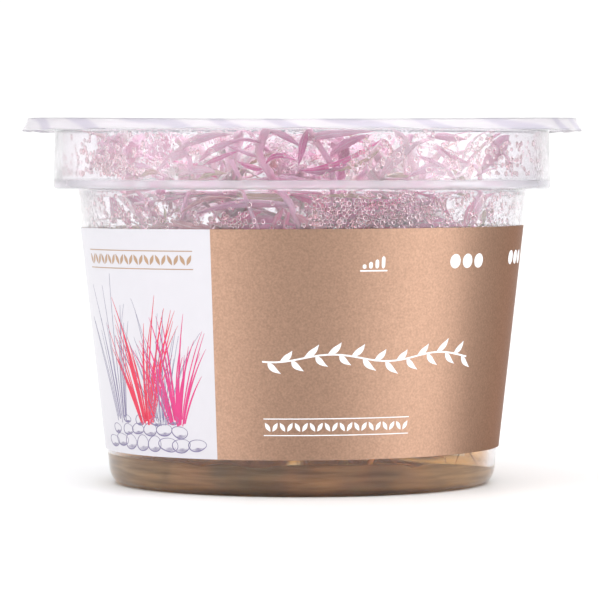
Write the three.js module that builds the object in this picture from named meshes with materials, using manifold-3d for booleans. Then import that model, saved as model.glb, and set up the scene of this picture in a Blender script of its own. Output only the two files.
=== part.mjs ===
// A sealed tub of tissue-cultured hygrophila: tub, lid film, wrap label, nutrient gel and the shoots.
// Millimetres, +Z up, the tub stands on z = 0 with its axis on Z, and its front looks along -Y.
import * as THREE from 'three';
import Module from 'manifold-3d';

const wasm = await Module();
wasm.setup();

// Tub
const SIDES = 52;
const WALL = 1.5;
const FOOT_RADIUS = 36.4;
const FOOT_WIDTH = 3.6;
const BASE_RECESS = 0.7;
const FLOOR_TOP = 1.7;
const WALL_LOW = { z: 2.4, r: 37.75 };
const WALL_HIGH = { z: 56.5, r: 43.75 };
const SHOULDER_UNDER = 57.5;
const SHOULDER_TOP = 59.0;
const COLLAR_LOW = 48.6;
const COLLAR_HIGH = 48.3;
const FLANGE_RADIUS = 52.7;
const FLANGE_UNDER = 69.0;
const FLANGE_TOP = 70.1;

// Lid film
const FILM_THICKNESS = 0.3;
const FILM_SIDES = 104;
const CREST_RADIUS = 53.6;
const CREST_LIFT = 0.8;
const SKIRT_RADIUS = 54.7;
const SKIRT_LOW = 68.75;
const RUFFLE = 0.3;

// Label
const LABEL_GAP = 0.1;
const LABEL_THICKNESS = 0.25;
const LABEL_LOW = 7.1;
const LABEL_HIGH = 50.2;
const LABEL_TILT = 0.0045;
const LABEL_SEAM = [26, 27];

// Gel
const GEL_GAP = 0.1;
const GEL_TOP = 5.9;
const MENISCUS = 0.5;
const SOCKET_GAP = 0.3;

// Shoots
const SHOOTS = 11;
const FOOT_Z = 2.7;
const FOOT_SPREAD = 25;
const TOP_SPREAD = 40;
const STEM_THICK = 0.95;
const STEM_THIN = 0.6;
const STEM_STEPS = 8;
const STEM_SIDES = 6;
const GOLDEN_ANGLE = 137.508;
const LEAF_THICKNESS = 0.6;
const LEAF_GAP = 0.5;
const CLEARANCE = 0.4;
const TRIES = 120;

// Where the leaf pairs sit, as a share of the stem's length. The first two pairs are leaves of their own,
// the others are the small ones that are grown together with the stem.
const PAIRS = [
  { at: 0.92, long: 20, wide: 1.5, own: true },
  { at: 0.8, long: 24, wide: 1.7, own: true },
  { at: 0.98, long: 12, wide: 1.0, own: false },
  { at: 0.64, long: 16, wide: 1.2, own: false },
  { at: 0.38, long: 13, wide: 1.1, own: false },
];

const clearPlastic = { color: 0xe9e4ee, roughness: 0.25, metalness: 0, transparent: true, opacity: 0.35 };
const filmPlastic = { color: 0xe6e3ec, roughness: 0.3, metalness: 0, transparent: true, opacity: 0.45 };
const bronzePrint = { color: 0xab8467, roughness: 0.4, metalness: 0.3 };
const amberGel = { color: 0x7d5a3c, roughness: 0.3, metalness: 0, transparent: true, opacity: 0.8 };
const stemPink = { color: 0xc99aa6, roughness: 0.5, metalness: 0 };
const leafPink = { color: 0xcf8fa9, roughness: 0.5, metalness: 0 };

const radians = THREE.MathUtils.degToRad;
const mix = THREE.MathUtils.lerp;

// A repeatable number from 0 to 1 for each whole number n.
function chance(n) {
  const value = Math.sin(n * 12.9898 + 4.1414) * 43758.5453;
  return value - Math.floor(value);
}

// A point at an angle in degrees round the axis, counted from the front towards +X.
function polar(angle, radius, z) {
  const turn = radians(angle);
  return new THREE.Vector3(radius * Math.sin(turn), -radius * Math.cos(turn), z);
}

// Radius of the tapered wall's outer face at height z.
function wallRadius(z) {
  const share = (z - WALL_LOW.z) / (WALL_HIGH.z - WALL_LOW.z);
  return mix(WALL_LOW.r, WALL_HIGH.r, share);
}

// Radius of the free space inside the tub at height z.
function insideRadius(z) {
  return z > SHOULDER_TOP ? COLLAR_HIGH - WALL : wallRadius(z) - WALL;
}

function part(name, geometry, look) {
  const mesh = new THREE.Mesh(geometry, new THREE.MeshStandardMaterial(look));
  mesh.name = name;
  return mesh;
}

// Turns a profile of [radius, height] pairs, from one end on the axis to the other, round Z.
function revolve(profile) {
  const points = profile.map(([r, z]) => new THREE.Vector2(r, z));
  return new THREE.LatheGeometry(points, SIDES).rotateX(Math.PI / 2);
}

// One closed solid through rings of equal length, closed at each end by a fan from a point.
function loft(rings, first, last) {
  const size = rings[0].length;
  const points = [...rings.flat(), first, last];
  const index = [];
  for (let i = 0; i + 1 < rings.length; i += 1) {
    for (let j = 0; j < size; j += 1) {
      const a = i * size + j;
      const b = i * size + ((j + 1) % size);
      index.push(a, b, b + size, a, b + size, a + size);
    }
  }
  const start = (rings.length - 1) * size;
  for (let j = 0; j < size; j += 1) {
    const next = (j + 1) % size;
    index.push(points.length - 2, next, j);
    index.push(points.length - 1, start + j, start + next);
  }
  const geometry = new THREE.BufferGeometry();
  geometry.setAttribute('position', new THREE.Float32BufferAttribute(points.flatMap((p) => p.toArray()), 3));
  geometry.setIndex(index);
  return geometry;
}

function toManifold(geometry) {
  const mesh = new wasm.Mesh({
    numProp: 3,
    vertProperties: new Float32Array(geometry.getAttribute('position').array),
    triVerts: new Uint32Array(geometry.getIndex().array),
  });
  mesh.merge();
  return new wasm.Manifold(mesh);
}

function fromManifold(solid) {
  const mesh = solid.getMesh();
  const geometry = new THREE.BufferGeometry();
  geometry.setAttribute('position', new THREE.BufferAttribute(mesh.vertProperties, 3));
  geometry.setIndex(new THREE.BufferAttribute(mesh.triVerts, 1));
  return geometry;
}

function makeTub() {
  const inner = insideRadius(FLOOR_TOP);
  return revolve([
    [0, BASE_RECESS],
    [FOOT_RADIUS - FOOT_WIDTH - 0.7, BASE_RECESS],
    [FOOT_RADIUS - FOOT_WIDTH, 0],
    [FOOT_RADIUS - 0.6, 0],
    [FOOT_RADIUS + 0.65, 0.75],
    [WALL_LOW.r, WALL_LOW.z],
    [WALL_HIGH.r, WALL_HIGH.z],
    [WALL_HIGH.r + 0.35, SHOULDER_UNDER - 0.2],
    [WALL_HIGH.r + 0.9, SHOULDER_UNDER],
    [COLLAR_LOW - 0.7, SHOULDER_UNDER],
    [COLLAR_LOW, SHOULDER_UNDER + 0.7],
    [COLLAR_HIGH, FLANGE_UNDER],
    [FLANGE_RADIUS, FLANGE_UNDER],
    [FLANGE_RADIUS, FLANGE_TOP],
    [COLLAR_HIGH - WALL, FLANGE_TOP],
    [COLLAR_LOW - WALL, SHOULDER_TOP + 0.5],
    [COLLAR_LOW - WALL - 0.5, SHOULDER_TOP],
    [insideRadius(SHOULDER_TOP) + 0.6, SHOULDER_TOP],
    [insideRadius(SHOULDER_TOP - 0.8), SHOULDER_TOP - 0.8],
    [insideRadius(FLOOR_TOP + 1.5), FLOOR_TOP + 1.5],
    [inner - 0.6, FLOOR_TOP + 0.5],
    [inner - 1.8, FLOOR_TOP],
    [0, FLOOR_TOP],
  ]);
}

// The film's rim lifts a little at the left and right, and its skirt goes in and out round the edge.
function makeFilm() {
  const top = FLANGE_TOP + FILM_THICKNESS;
  const rings = [[], [], [], [], [], []];
  for (let i = 0; i < FILM_SIDES; i += 1) {
    const angle = (360 * i) / FILM_SIDES;
    const crest = top + CREST_LIFT * Math.sin(radians(angle)) ** 2;
    const wave = i % 2 === 0 ? RUFFLE : -RUFFLE;
    const low = SKIRT_LOW + 0.4 * wave;
    rings[0].push(polar(angle, FLANGE_RADIUS + 0.2, FLANGE_TOP));
    rings[1].push(polar(angle, CREST_RADIUS - 0.3, crest - 0.5));
    rings[2].push(polar(angle, SKIRT_RADIUS - FILM_THICKNESS + wave, low));
    rings[3].push(polar(angle, SKIRT_RADIUS + wave, low + 0.15));
    rings[4].push(polar(angle, CREST_RADIUS, crest));
    rings[5].push(polar(angle, FLANGE_RADIUS - 0.2, top));
  }
  return loft(rings, new THREE.Vector3(0, 0, FLANGE_TOP), new THREE.Vector3(0, 0, top));
}

// The label follows the wall's facets, a hair outside them, and stops short of itself at the back.
function makeLabel() {
  const rings = [];
  for (let i = LABEL_SEAM[1]; i <= LABEL_SEAM[0] + SIDES; i += 1) {
    const angle = (360 * i) / SIDES;
    const lift = LABEL_TILT * WALL_HIGH.r * Math.sin(radians(angle));
    const corner = (offset, z) => polar(angle, wallRadius(z) + offset, z);
    rings.push([
      corner(LABEL_GAP, LABEL_HIGH + lift),
      corner(LABEL_GAP + LABEL_THICKNESS, LABEL_HIGH + lift),
      corner(LABEL_GAP + LABEL_THICKNESS, LABEL_LOW + lift),
      corner(LABEL_GAP, LABEL_LOW + lift),
    ]);
  }
  const middle = (ring) => ring[0].clone().add(ring[1]).add(ring[2]).add(ring[3]).divideScalar(4);
  return loft(rings, middle(rings[0]), middle(rings[rings.length - 1]));
}

function makeGelDisc() {
  const inner = insideRadius(FLOOR_TOP) - GEL_GAP;
  const rim = GEL_TOP + MENISCUS;
  return revolve([
    [0, FLOOR_TOP],
    [inner - 1.8, FLOOR_TOP],
    [inner - 0.6, FLOOR_TOP + 0.5],
    [insideRadius(FLOOR_TOP + 1.5) - GEL_GAP, FLOOR_TOP + 1.5],
    [insideRadius(rim) - GEL_GAP, rim],
    [insideRadius(rim) - GEL_GAP - 1.5, GEL_TOP],
    [0, GEL_TOP],
  ]);
}

// A shoot's stem is a curve from the gel up to the lid, leaning out as it climbs.
function stemCurve(shoot) {
  const share = Math.sqrt((shoot + 0.6) / SHOOTS);
  const angle = shoot * GOLDEN_ANGLE;
  const lean = (n, size) => (chance(shoot * 17 + n) - 0.5) * size;
  const foot = polar(angle, FOOT_SPREAD * share, FOOT_Z);
  const low = polar(angle + lean(1, 60), FOOT_SPREAD * share + lean(2, 6), mix(FOOT_Z, 62, 0.35));
  const high = polar(angle + lean(3, 80), mix(FOOT_SPREAD, TOP_SPREAD, 0.6) * share + lean(4, 8), mix(FOOT_Z, 62, 0.7));
  const top = polar(angle + lean(5, 70), TOP_SPREAD * share * 0.95, 61.5 + lean(6, 8));
  return new THREE.CubicBezierCurve3(foot, low, high, top);
}

function stemRadius(t) {
  return mix(STEM_THICK, STEM_THIN, t);
}

// Two unit vectors square to a direction, the first one level.
function squareTo(direction, level) {
  const side = level.clone().addScaledVector(direction, -level.dot(direction)).normalize();
  return [side, new THREE.Vector3().crossVectors(direction, side)];
}

// A stem through the first steps of its curve. A socket is a stem made wider, and longer at its foot.
function makeStem(curve, steps, extra) {
  const level = new THREE.Vector3(1, 0, 0);
  const rings = Array.from({ length: steps + 1 }, (unused, i) => {
    const t = i / STEM_STEPS;
    const direction = curve.getTangent(t);
    const [side, other] = squareTo(direction, level);
    const middle = curve.getPoint(t).addScaledVector(direction, i === 0 ? -extra : 0);
    const radius = stemRadius(t) + extra;
    const ring = [];
    for (let j = 0; j < STEM_SIDES; j += 1) {
      const turn = (2 * Math.PI * j) / STEM_SIDES;
      const point = middle.clone().addScaledVector(side, radius * Math.cos(turn));
      ring.push(point.addScaledVector(other, radius * Math.sin(turn)));
    }
    return ring;
  });
  const middleOf = (ring) => ring[0].clone().add(ring[STEM_SIDES / 2]).multiplyScalar(0.5);
  return loft(rings, middleOf(rings[0]), middleOf(rings[rings.length - 1]));
}

// A leaf is a curve that arches out from the stem, with a width that swells and then tapers to a point.
function leafCurve(foot, angle, pitch, long, droop) {
  const along = polar(angle, 1, 0);
  const reach = (share, lift) => foot.clone()
    .addScaledVector(along, long * share * Math.cos(radians(lift)))
    .add(new THREE.Vector3(0, 0, long * share * Math.sin(radians(lift))));
  return new THREE.QuadraticBezierCurve3(foot, reach(0.55, pitch + droop), reach(1, pitch));
}

const LEAF_STATIONS = [[0, 0.3], [0.16, 0.62], [0.42, 1], [0.72, 0.72]];

function makeLeaf(leaf, stations) {
  const level = polar(leaf.angle + 90, 1, 0);
  const rings = stations.map(([t, swell]) => {
    const [side, normal] = squareTo(leaf.curve.getTangent(t), level);
    const middle = leaf.curve.getPoint(t);
    const thick = LEAF_THICKNESS * (0.6 + 0.4 * swell) * 0.5;
    return [
      middle.clone().addScaledVector(side, leaf.wide * swell),
      middle.clone().addScaledVector(normal, thick),
      middle.clone().addScaledVector(side, -leaf.wide * swell),
      middle.clone().addScaledVector(normal, -thick),
    ];
  });
  return loft(rings, leaf.curve.getPoint(0), leaf.curve.getPoint(1));
}

// Spheres that stand for a piece where the shoots are set clear of each other.
function beads(curve, count, radiusAt, owner) {
  const list = [];
  for (let i = 0; i <= count; i += 1) {
    const t = i / count;
    list.push({ at: curve.getPoint(t), radius: radiusAt(t), t, owner });
  }
  return list;
}

// A leaf fits where it is inside the tub and clear of every other piece.
function fits(leafBeads, others, shoot, own) {
  return leafBeads.every((bead) => {
    const across = Math.hypot(bead.at.x, bead.at.y);
    const inTub = across + bead.radius < insideRadius(bead.at.z) - 0.8
      && bead.at.z + bead.radius < FLANGE_TOP - 0.4
      && bead.at.z - bead.radius > GEL_TOP + 1
      && (Math.abs(bead.at.z - SHOULDER_TOP) > 2.5 || across + bead.radius < insideRadius(SHOULDER_UNDER) - 0.8);
    return inTub && others.every((other) => {
      const sameShoot = other.owner === shoot;
      const grown = sameShoot && !own && other.grown;
      const room = sameShoot && bead.t < 0.3 ? LEAF_GAP : bead.radius + CLEARANCE;
      return grown || bead.at.distanceTo(other.at) > other.radius + room;
    });
  });
}

function growShoots() {
  const shoots = [];
  const placed = [];
  for (let k = 0; k < SHOOTS; k += 1) {
    const curve = stemCurve(k);
    shoots.push({ curve, leaves: [] });
    beads(curve, 40, stemRadius, k).forEach((bead) => placed.push({ ...bead, grown: true }));
  }
  PAIRS.forEach((pair, p) => {
    shoots.forEach((shoot, k) => {
      for (let half = 0; half < 2; half += 1) {
        const seed = 1000 + k * 97 + p * 13 + half * 7;
        for (let go = 0; go < TRIES; go += 1) {
          const swing = go === 0 ? 0 : (chance(seed + go * 31) - 0.5) * 100;
          const angle = k * 71 + p * 90 + half * 180 + swing;
          const pitch = mix(-5, 60, chance(seed + go * 37 + 1));
          const long = pair.long * mix(1.1, 0.75, go / TRIES);
          const [out] = squareTo(shoot.curve.getTangent(pair.at), polar(angle, 1, 0));
          const reach = stemRadius(pair.at) + (pair.own ? LEAF_GAP + 0.05 : -0.4);
          const foot = shoot.curve.getPoint(pair.at).addScaledVector(out, reach);
          const path = leafCurve(foot, angle, pitch, long, 28);
          const leafBeads = beads(path, 14, (t) => pair.wide * Math.sin(Math.PI * mix(0.12, 0.96, t)), k);
          if (fits(leafBeads, placed, k, pair.own)) {
            shoot.leaves.push({ curve: path, angle, wide: pair.wide, own: pair.own });
            leafBeads.forEach((bead) => placed.push({ ...bead, grown: !pair.own }));
            break;
          }
        }
      }
    });
  });
  return shoots;
}

const tissueCultureTub = new THREE.Group();
tissueCultureTub.add(part('tub', makeTub(), clearPlastic));
tissueCultureTub.add(part('lid_film', makeFilm(), filmPlastic));
tissueCultureTub.add(part('label', makeLabel(), bronzePrint));

let gel = toManifold(makeGelDisc());
growShoots().forEach((shoot, k) => {
  const number = String(k + 1).padStart(2, '0');
  let stem = toManifold(makeStem(shoot.curve, STEM_STEPS, 0));
  shoot.leaves.filter((leaf) => !leaf.own).forEach((leaf) => {
    stem = stem.add(toManifold(makeLeaf(leaf, LEAF_STATIONS.filter((station, i) => i !== 1))));
  });
  tissueCultureTub.add(part(`stem_${number}`, fromManifold(stem), stemPink));
  shoot.leaves.filter((leaf) => leaf.own).forEach((leaf, i) => {
    tissueCultureTub.add(part(`leaf_${number}_${'abcd'[i]}`, makeLeaf(leaf, LEAF_STATIONS), leafPink));
  });
  gel = gel.subtract(toManifold(makeStem(shoot.curve, 1, SOCKET_GAP)));
});
tissueCultureTub.add(part('gel', fromManifold(gel), amberGel));

export default tissueCultureTub;
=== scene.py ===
"""A sealed tub of tissue-cultured hygrophila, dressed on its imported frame.

Sizes inside the functions are millimetres in the part's own frame; put_mesh turns them into metres.
The front of the label looks along -Y, and an angle round the tub is counted from there towards +X.
"""

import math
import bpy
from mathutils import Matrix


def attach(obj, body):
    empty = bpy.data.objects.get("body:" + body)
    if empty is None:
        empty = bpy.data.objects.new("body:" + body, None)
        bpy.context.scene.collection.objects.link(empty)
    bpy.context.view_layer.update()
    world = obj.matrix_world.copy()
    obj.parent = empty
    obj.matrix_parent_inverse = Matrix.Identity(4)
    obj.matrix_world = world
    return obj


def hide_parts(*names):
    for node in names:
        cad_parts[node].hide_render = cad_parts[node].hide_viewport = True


bl_info = {
    "name": "Sealed plant tub",
    "version": (1, 0, 0),
    "blender": (4, 5, 0),
    "location": "3D Viewport > Sidebar > Plant tub",
    "description": "Builds a tissue culture plant tub: clear tub, ruffled film, wrap label, gel, shoots and dew",
    "category": "Object",
}

import bpy
import numpy as np

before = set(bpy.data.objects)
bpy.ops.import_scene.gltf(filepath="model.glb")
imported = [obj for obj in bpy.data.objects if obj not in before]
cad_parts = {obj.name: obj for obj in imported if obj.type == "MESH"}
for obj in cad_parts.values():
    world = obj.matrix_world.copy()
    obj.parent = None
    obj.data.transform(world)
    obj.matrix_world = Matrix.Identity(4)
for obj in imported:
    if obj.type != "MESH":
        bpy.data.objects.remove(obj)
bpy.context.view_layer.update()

# Tub
WALL = 1.5
FOOT_RADIUS = 36.4
FOOT_WIDTH = 3.6
BASE_RECESS = 0.7
FLOOR_TOP = 1.7
WALL_LOW = (2.4, 37.75)
WALL_HIGH = (56.5, 43.75)
SHOULDER_UNDER = 57.5
SHOULDER_TOP = 59.0
COLLAR_LOW = 48.6
COLLAR_HIGH = 48.3
FLANGE_RADIUS = 52.7
FLANGE_UNDER = 69.0
FLANGE_TOP = 70.1
TUB_COLUMNS = 240
# The plastic's finish changes at these heights, out of sight behind the label, and at the wet line
BAND_FROM = 48.0
FOOT_TO = 9.0
WET_ROW = 6.52
CLEAR, WETTED, THICK, FOGGED, MISTED, FOOT, SMEARED = range(7)

# Lid film
FILM_TOP = 70.4
FILM_COLUMNS = 900
DOME = 0.4
DOME_RADIUS = 46.5
CREST_RADIUS = 53.6
CREST_LIFT = 0.8
SKIRT_RADIUS = 54.6
SKIRT_LOW = 68.75
SKIRT_THICKNESS = 0.22
RIM_FROM = 47.5

# Label
LABEL_LOW = 7.1
LABEL_HIGH = 50.2
LABEL_TILT = 0.0045
LABEL_GAP = 0.1
LABEL_THICKNESS = 0.22
LABEL_ENDS = (-173.0, 180.0)
LABEL_RADIUS = 41.5
WHITE_EDGE = -24.2
WHITE_LEAN = 0.022
INK_DEPTH = 0.05
INK_HEIGHT = 0.03

# Gel, and how strongly it and the plastic bend light
GEL_TOP = 5.9
GEL_GAP = 0.06
GEL_COLUMNS = 180
MENISCUS = 0.5
GEL_IOR = 1.34
PLASTIC_IOR = 1.47
WATER_IOR = 1.33
# Dips in the gel's edge: compass direction, reach and depth
GEL_DIPS = ((84, 32, 2.6), (34.5, 3, 0.7), (-13, 5, 0.7), (-30.5, 3, 0.6))

# Shoots: the same numbers and the same rule as the frame's own leaves and stems
SHOOTS = 11
FOOT_Z = 2.7
FOOT_SPREAD = 25
TOP_SPREAD = 40
STEM_THICK = 0.95
STEM_THIN = 0.6
GOLDEN_ANGLE = 137.508
LEAF_GAP = 0.5
CLEARANCE = 0.4
TRIES = 120
# Pairs of leaves: place on the stem, length, half width, and whether each leaf is a node of its own
PAIRS = (
    (0.92, 20, 1.5, True),
    (0.8, 24, 1.7, True),
    (0.98, 12, 1.0, False),
    (0.64, 16, 1.2, False),
    (0.38, 13, 1.1, False),
)
ROOTS = 30

# A leaf's stations, how it swells there, and its section: places across it and above or below its middle
LEAF_AT = np.array([0.0, 0.06, 0.16, 0.3, 0.46, 0.62, 0.78, 0.91])
LEAF_T = np.append(LEAF_AT, 1.0)
LEAF_SWELL = np.array([0.24, 0.34, 0.66, 0.93, 1.0, 0.86, 0.56, 0.24, 0.02])
LEAF_ACROSS = np.array([1.0, 0.5, 0.0, -0.5, -1.0, -0.5, 0.0, 0.5])
LEAF_UP = np.array([0.0, 1.0, 1.0, 1.0, 0.0, -1.0, -1.0, -1.0])

# Where dew gathers: compass direction, height, reach each way, and how thick it lies
DRIFTS = (
    (-52, 63, 10, 4.5, 0.55),
    (-44, 60.5, 8, 2.0, 0.6),
    (-57, 53, 10, 3, 0.4),
    (-42, 52, 6, 2.5, 0.4),
    (-17, 51.4, 7, 1.6, 0.8),
    (10, 53, 7, 3.6, 0.95),
    (22, 53, 8, 4, 0.95),
    (36, 53.5, 9, 4, 0.75),
    (12, 61.5, 4, 0.9, 0.9),
    (20, 64, 8, 2.4, 0.4),
    (44, 63.5, 10, 5, 0.45),
    (60, 63, 10, 5, 0.25),
    (58, 53, 9, 4, 0.3),
    (88, 60, 14, 7, 0.4),
    (125, 54, 15, 4, 0.5),
    (150, 64, 12, 5, 0.4),
    (-170, 55, 14, 5, 0.4),
    (-135, 62, 14, 6, 0.5),
    (-100, 55, 12, 5, 0.5),
)
DEW_LOW = 46.8
DEW_HIGH = 68.4
HALF_ROUND = 138
FINE_DROP = 0.47
DROP_STEP = 0.92
ROW_STEP = DROP_STEP * 0.87
LARGE_DROPS = 520
# Domes: each ring's width and rise, and the rise of the top, as shares of the drop's half width
FINE_DOME = (8, ((1.0, 0.0), (0.76, 0.36)), 0.56)
LARGE_DOME = (12, ((1.0, 0.0), (0.95, 0.22), (0.74, 0.46), (0.4, 0.6)), 0.64)

# Light in the room: compass direction in degrees from the front, and brightness near the horizon
ROOM = (
    *((-180, 1.06), (-165, 1.06), (-150, 0.7), (-110, 0.7), (-85, 1.8), (-58, 3.2), (-40, 2.4), (-18, 0.4)),
    *((0, 0.2), (18, 0.5), (45, 2.6), (66, 4.0), (86, 3.4), (104, 0.1), (134, 0.1), (150, 1.06), (180, 1.06)),
)
ROOM_ABOVE = 1.25
ROOM_STRENGTH = 8.0
WHITE = (1.0, 1.0, 1.0)
BLACK = (0.0, 0.0, 0.0)
FLESH = (1.0, 0.7, 0.85)


def mix(low, high, share):
    """The value at a share of the way from low to high."""
    return low + (high - low) * share


def chance(n):
    """A repeatable number from 0 to 1 for each whole number: the fraction part of a large sine."""
    value = math.sin(n * 12.9898 + 4.1414) * 43758.5453
    return value - math.floor(value)


def bell(off, wide):
    """A bell-shaped rise of height 1: e to the minus square of the distance in widths."""
    return np.exp(-((off / wide) ** 2))


def polar(angle, radius, z):
    """A point at an angle in degrees, a radius and a height: x = r sin a, y = -r cos a."""
    turn = np.radians(angle)
    return np.stack(np.broadcast_arrays(radius * np.sin(turn), -radius * np.cos(turn), z), axis=-1).astype(float)


def compass(points):
    """The other way round: each point's angle in degrees and its radius."""
    x, y = points[..., 0], points[..., 1]
    return np.degrees(np.arctan2(x, -y)), np.hypot(x, y)


def wall_radius(z):
    """The tapered wall's outer radius, a straight line in height."""
    return mix(WALL_LOW[1], WALL_HIGH[1], (z - WALL_LOW[0]) / (WALL_HIGH[0] - WALL_LOW[0]))


def inside_radius(z):
    """Free radius in the tub: the taper less its wall, and above the step the collar less its wall."""
    return np.where(z > SHOULDER_TOP, COLLAR_HIGH - WALL, wall_radius(z) - WALL)


def floor_channel(gap):
    """The inside of the floor from the wall to the axis: it dips over the hollow foot ring."""
    inner = inside_radius(FLOOR_TOP) - gap
    ring = FOOT_RADIUS - FOOT_WIDTH
    dip, level = 0.95 + gap, FLOOR_TOP + gap
    return [(inner - 0.35, 1.35 + gap), (inner - 1.3, dip), (ring + 0.7, dip), (ring - 0.9, level), (0, level)]


def wet_line(angle):
    """How high the gel's edge climbs the wall: nearly level, with a few bell-shaped dips."""
    dips = sum(deep * bell(angle - at, wide) for at, wide, deep in GEL_DIPS)
    return GEL_TOP + MENISCUS - 0.15 - dips


def unit(v):
    """Vectors brought to length 1."""
    return v / np.maximum(np.linalg.norm(v, axis=-1, keepdims=True), 1e-9)


def bezier(control, t):
    """Points at the shares t of a Bezier curve with three or four control points."""
    t = np.asarray(t, dtype=float)[..., None]
    s = 1 - t
    if len(control) == 3:
        return s * s * control[0] + 2 * s * t * control[1] + t * t * control[2]
    return s**3 * control[0] + 3 * s * s * t * control[1] + 3 * s * t * t * control[2] + t**3 * control[3]


def bezier_direction(control, t):
    """Unit directions of a Bezier curve, from two points close on either side of each share."""
    return unit(bezier(control, np.minimum(t + 1e-4, 1)) - bezier(control, np.maximum(t - 1e-4, 0)))


def square_to(direction, level):
    """Two unit vectors square to a direction: the level one less its share along it, and their cross."""
    side = unit(level - np.sum(level * direction, axis=-1, keepdims=True) * direction)
    return side, np.cross(direction, side)


def skin(rings, first, last):
    """Closed skins over many lofts at once: points, quads and triangles.

    rings is lofts by rings by points by 3. Each ring is joined to the next by quads, and each loft's
    two ends are closed by a fan from its first and last point.
    """
    lofts, count, size, _ = rings.shape
    points = np.concatenate([rings.reshape(lofts, -1, 3), first[:, None], last[:, None]], axis=1)
    i, j = np.meshgrid(np.arange(count - 1), np.arange(size), indexing="ij")
    a = (i * size + j).ravel()
    b = (i * size + (j + 1) % size).ravel()
    quads = np.stack([a, b, b + size, a + size], axis=1)
    here = np.arange(size)
    after = (here + 1) % size
    end = (count - 1) * size
    pole = np.full(size, count * size)
    fans = [np.stack([pole, after, here], axis=1), np.stack([pole + 1, end + here, end + after], axis=1)]
    shift = (np.arange(lofts) * (count * size + 2))[:, None, None]
    return points.reshape(-1, 3), (quads + shift).reshape(-1, 4), (np.concatenate(fans) + shift).reshape(-1, 3)


def put_mesh(name, surface, finishes, uv=None, values=None, sharp=None):
    """A mesh object from a skin in millimetres, with an optional UV per point and named point values."""
    points, quads, triangles = surface
    mesh = bpy.data.meshes.new(name)
    mesh.from_pydata((points * 0.001).tolist(), [], quads.tolist() + triangles.tolist())
    mesh.shade_smooth()
    if sharp is not None:
        mesh.set_sharp_from_angle(angle=math.radians(sharp))
    if uv is not None:
        corner = np.empty(len(mesh.loops), dtype=np.int32)
        mesh.loops.foreach_get("vertex_index", corner)
        mesh.uv_layers.new(name="UVMap").data.foreach_set("uv", uv[corner].astype(np.float32).ravel())
    for key, value in (values or {}).items():
        mesh.attributes.new(key, "FLOAT", "POINT").data.foreach_set("value", value.astype(np.float32))
    for finish in finishes:
        mesh.materials.append(finish.material)
    mesh.validate()
    mesh.update()
    piece = bpy.data.objects.new(name, mesh)
    bpy.context.scene.collection.objects.link(piece)
    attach(piece, "root")
    return piece


def face_centres(piece):
    """The middle of every face in millimetres, with its angle round the tub and its radius."""
    faces = piece.data.polygons
    middle = np.empty(len(faces) * 3, dtype=np.float32)
    faces.foreach_get("center", middle)
    middle = middle.reshape(-1, 3).astype(float) * 1000
    return middle, *compass(middle)


def rounded(profile, radius, steps=5):
    """A profile with each corner turned into a short quadratic bend between two points near the corner."""
    profile = np.asarray(profile, dtype=float)
    out = [profile[:1]]
    t = np.linspace(0, 1, steps + 1)
    for before, corner, after in zip(profile[:-2], profile[1:-1], profile[2:]):
        start, end = (
            corner + unit(side - corner) * min(radius, 0.45 * np.linalg.norm(side - corner))
            for side in (before, after)
        )
        out.append(bezier((start, corner, end), t))
    out.append(profile[-1:])
    return np.concatenate(out)


def revolve(profile, columns):
    """A profile of radius and height pairs carried round the axis, closed at its two ends on the axis."""
    angle = 360 * np.arange(columns) / columns
    rings = polar(angle[None, :], profile[1:-1, :1], profile[1:-1, 1:])
    return skin(rings[None], polar(0, 0, profile[:1, 1]), polar(0, 0, profile[-1:, 1]))


def tubes(paths, radii, sides, level):
    """Round tubes along many paths: a circle in the plane square to the path at every point."""
    direction = unit(np.gradient(paths, axis=1))
    side, other = square_to(direction, np.asarray(level, dtype=float))
    turn = 2 * np.pi * np.arange(sides) / sides
    circle = side[:, :, None] * np.cos(turn)[:, None] + other[:, :, None] * np.sin(turn)[:, None]
    rings = paths[:, :, None] + radii[:, :, None, None] * circle
    first = paths[:, 0] - direction[:, 0] * radii[:, :1] * 0.4
    return skin(rings, first, paths[:, -1] + direction[:, -1] * radii[:, -1:] * 0.4)


def blades(path, levels, wide, fold, seeds):
    """Lance-shaped leaves: a flat section, folded a little along its midrib, carried along each arch.

    The half width swells and then tapers to a point, the section is eight points round a thin lens,
    and the edges wave by a sine along the leaf. Returns the skin, the UV and each leaf's own shade.
    """
    direction = unit(np.gradient(path, axis=1))
    side, normal = square_to(direction, levels[:, None])
    half = wide[:, None] * LEAF_SWELL
    across = half[:, :, None] * LEAF_ACROSS
    rib = np.where(np.abs(LEAF_ACROSS) < 0.1, 1.15, 0.8)
    thick = mix(0.1, 0.16, LEAF_SWELL)[None, :, None] * LEAF_UP * rib
    wave = 0.12 * np.sin(LEAF_T * 14 + seeds[:, None] * 6.3)[:, :, None] * np.abs(LEAF_ACROSS) * half[:, :, None]
    lift = thick + fold[:, None, None] * np.abs(across) + wave
    rings = path[:, :, None] + across[..., None] * side[:, :, None] + lift[..., None] * normal[:, :, None]
    shape = (len(path), len(LEAF_AT), len(LEAF_ACROSS))
    u = np.broadcast_to((LEAF_ACROSS + 1) / 2, shape)
    v = np.broadcast_to(LEAF_AT[:, None], shape)
    body = np.stack([u, v], axis=-1).reshape(len(path), -1, 2)
    poles = np.broadcast_to(np.array([[0.5, 0.0], [0.5, 1.0]]), (len(path), 2, 2))
    uv = np.concatenate([body, poles], axis=1)
    shade = np.repeat(seeds, uv.shape[1])
    return skin(rings[:, :-1], path[:, 0], path[:, -1]), uv.reshape(-1, 2), shade


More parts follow.
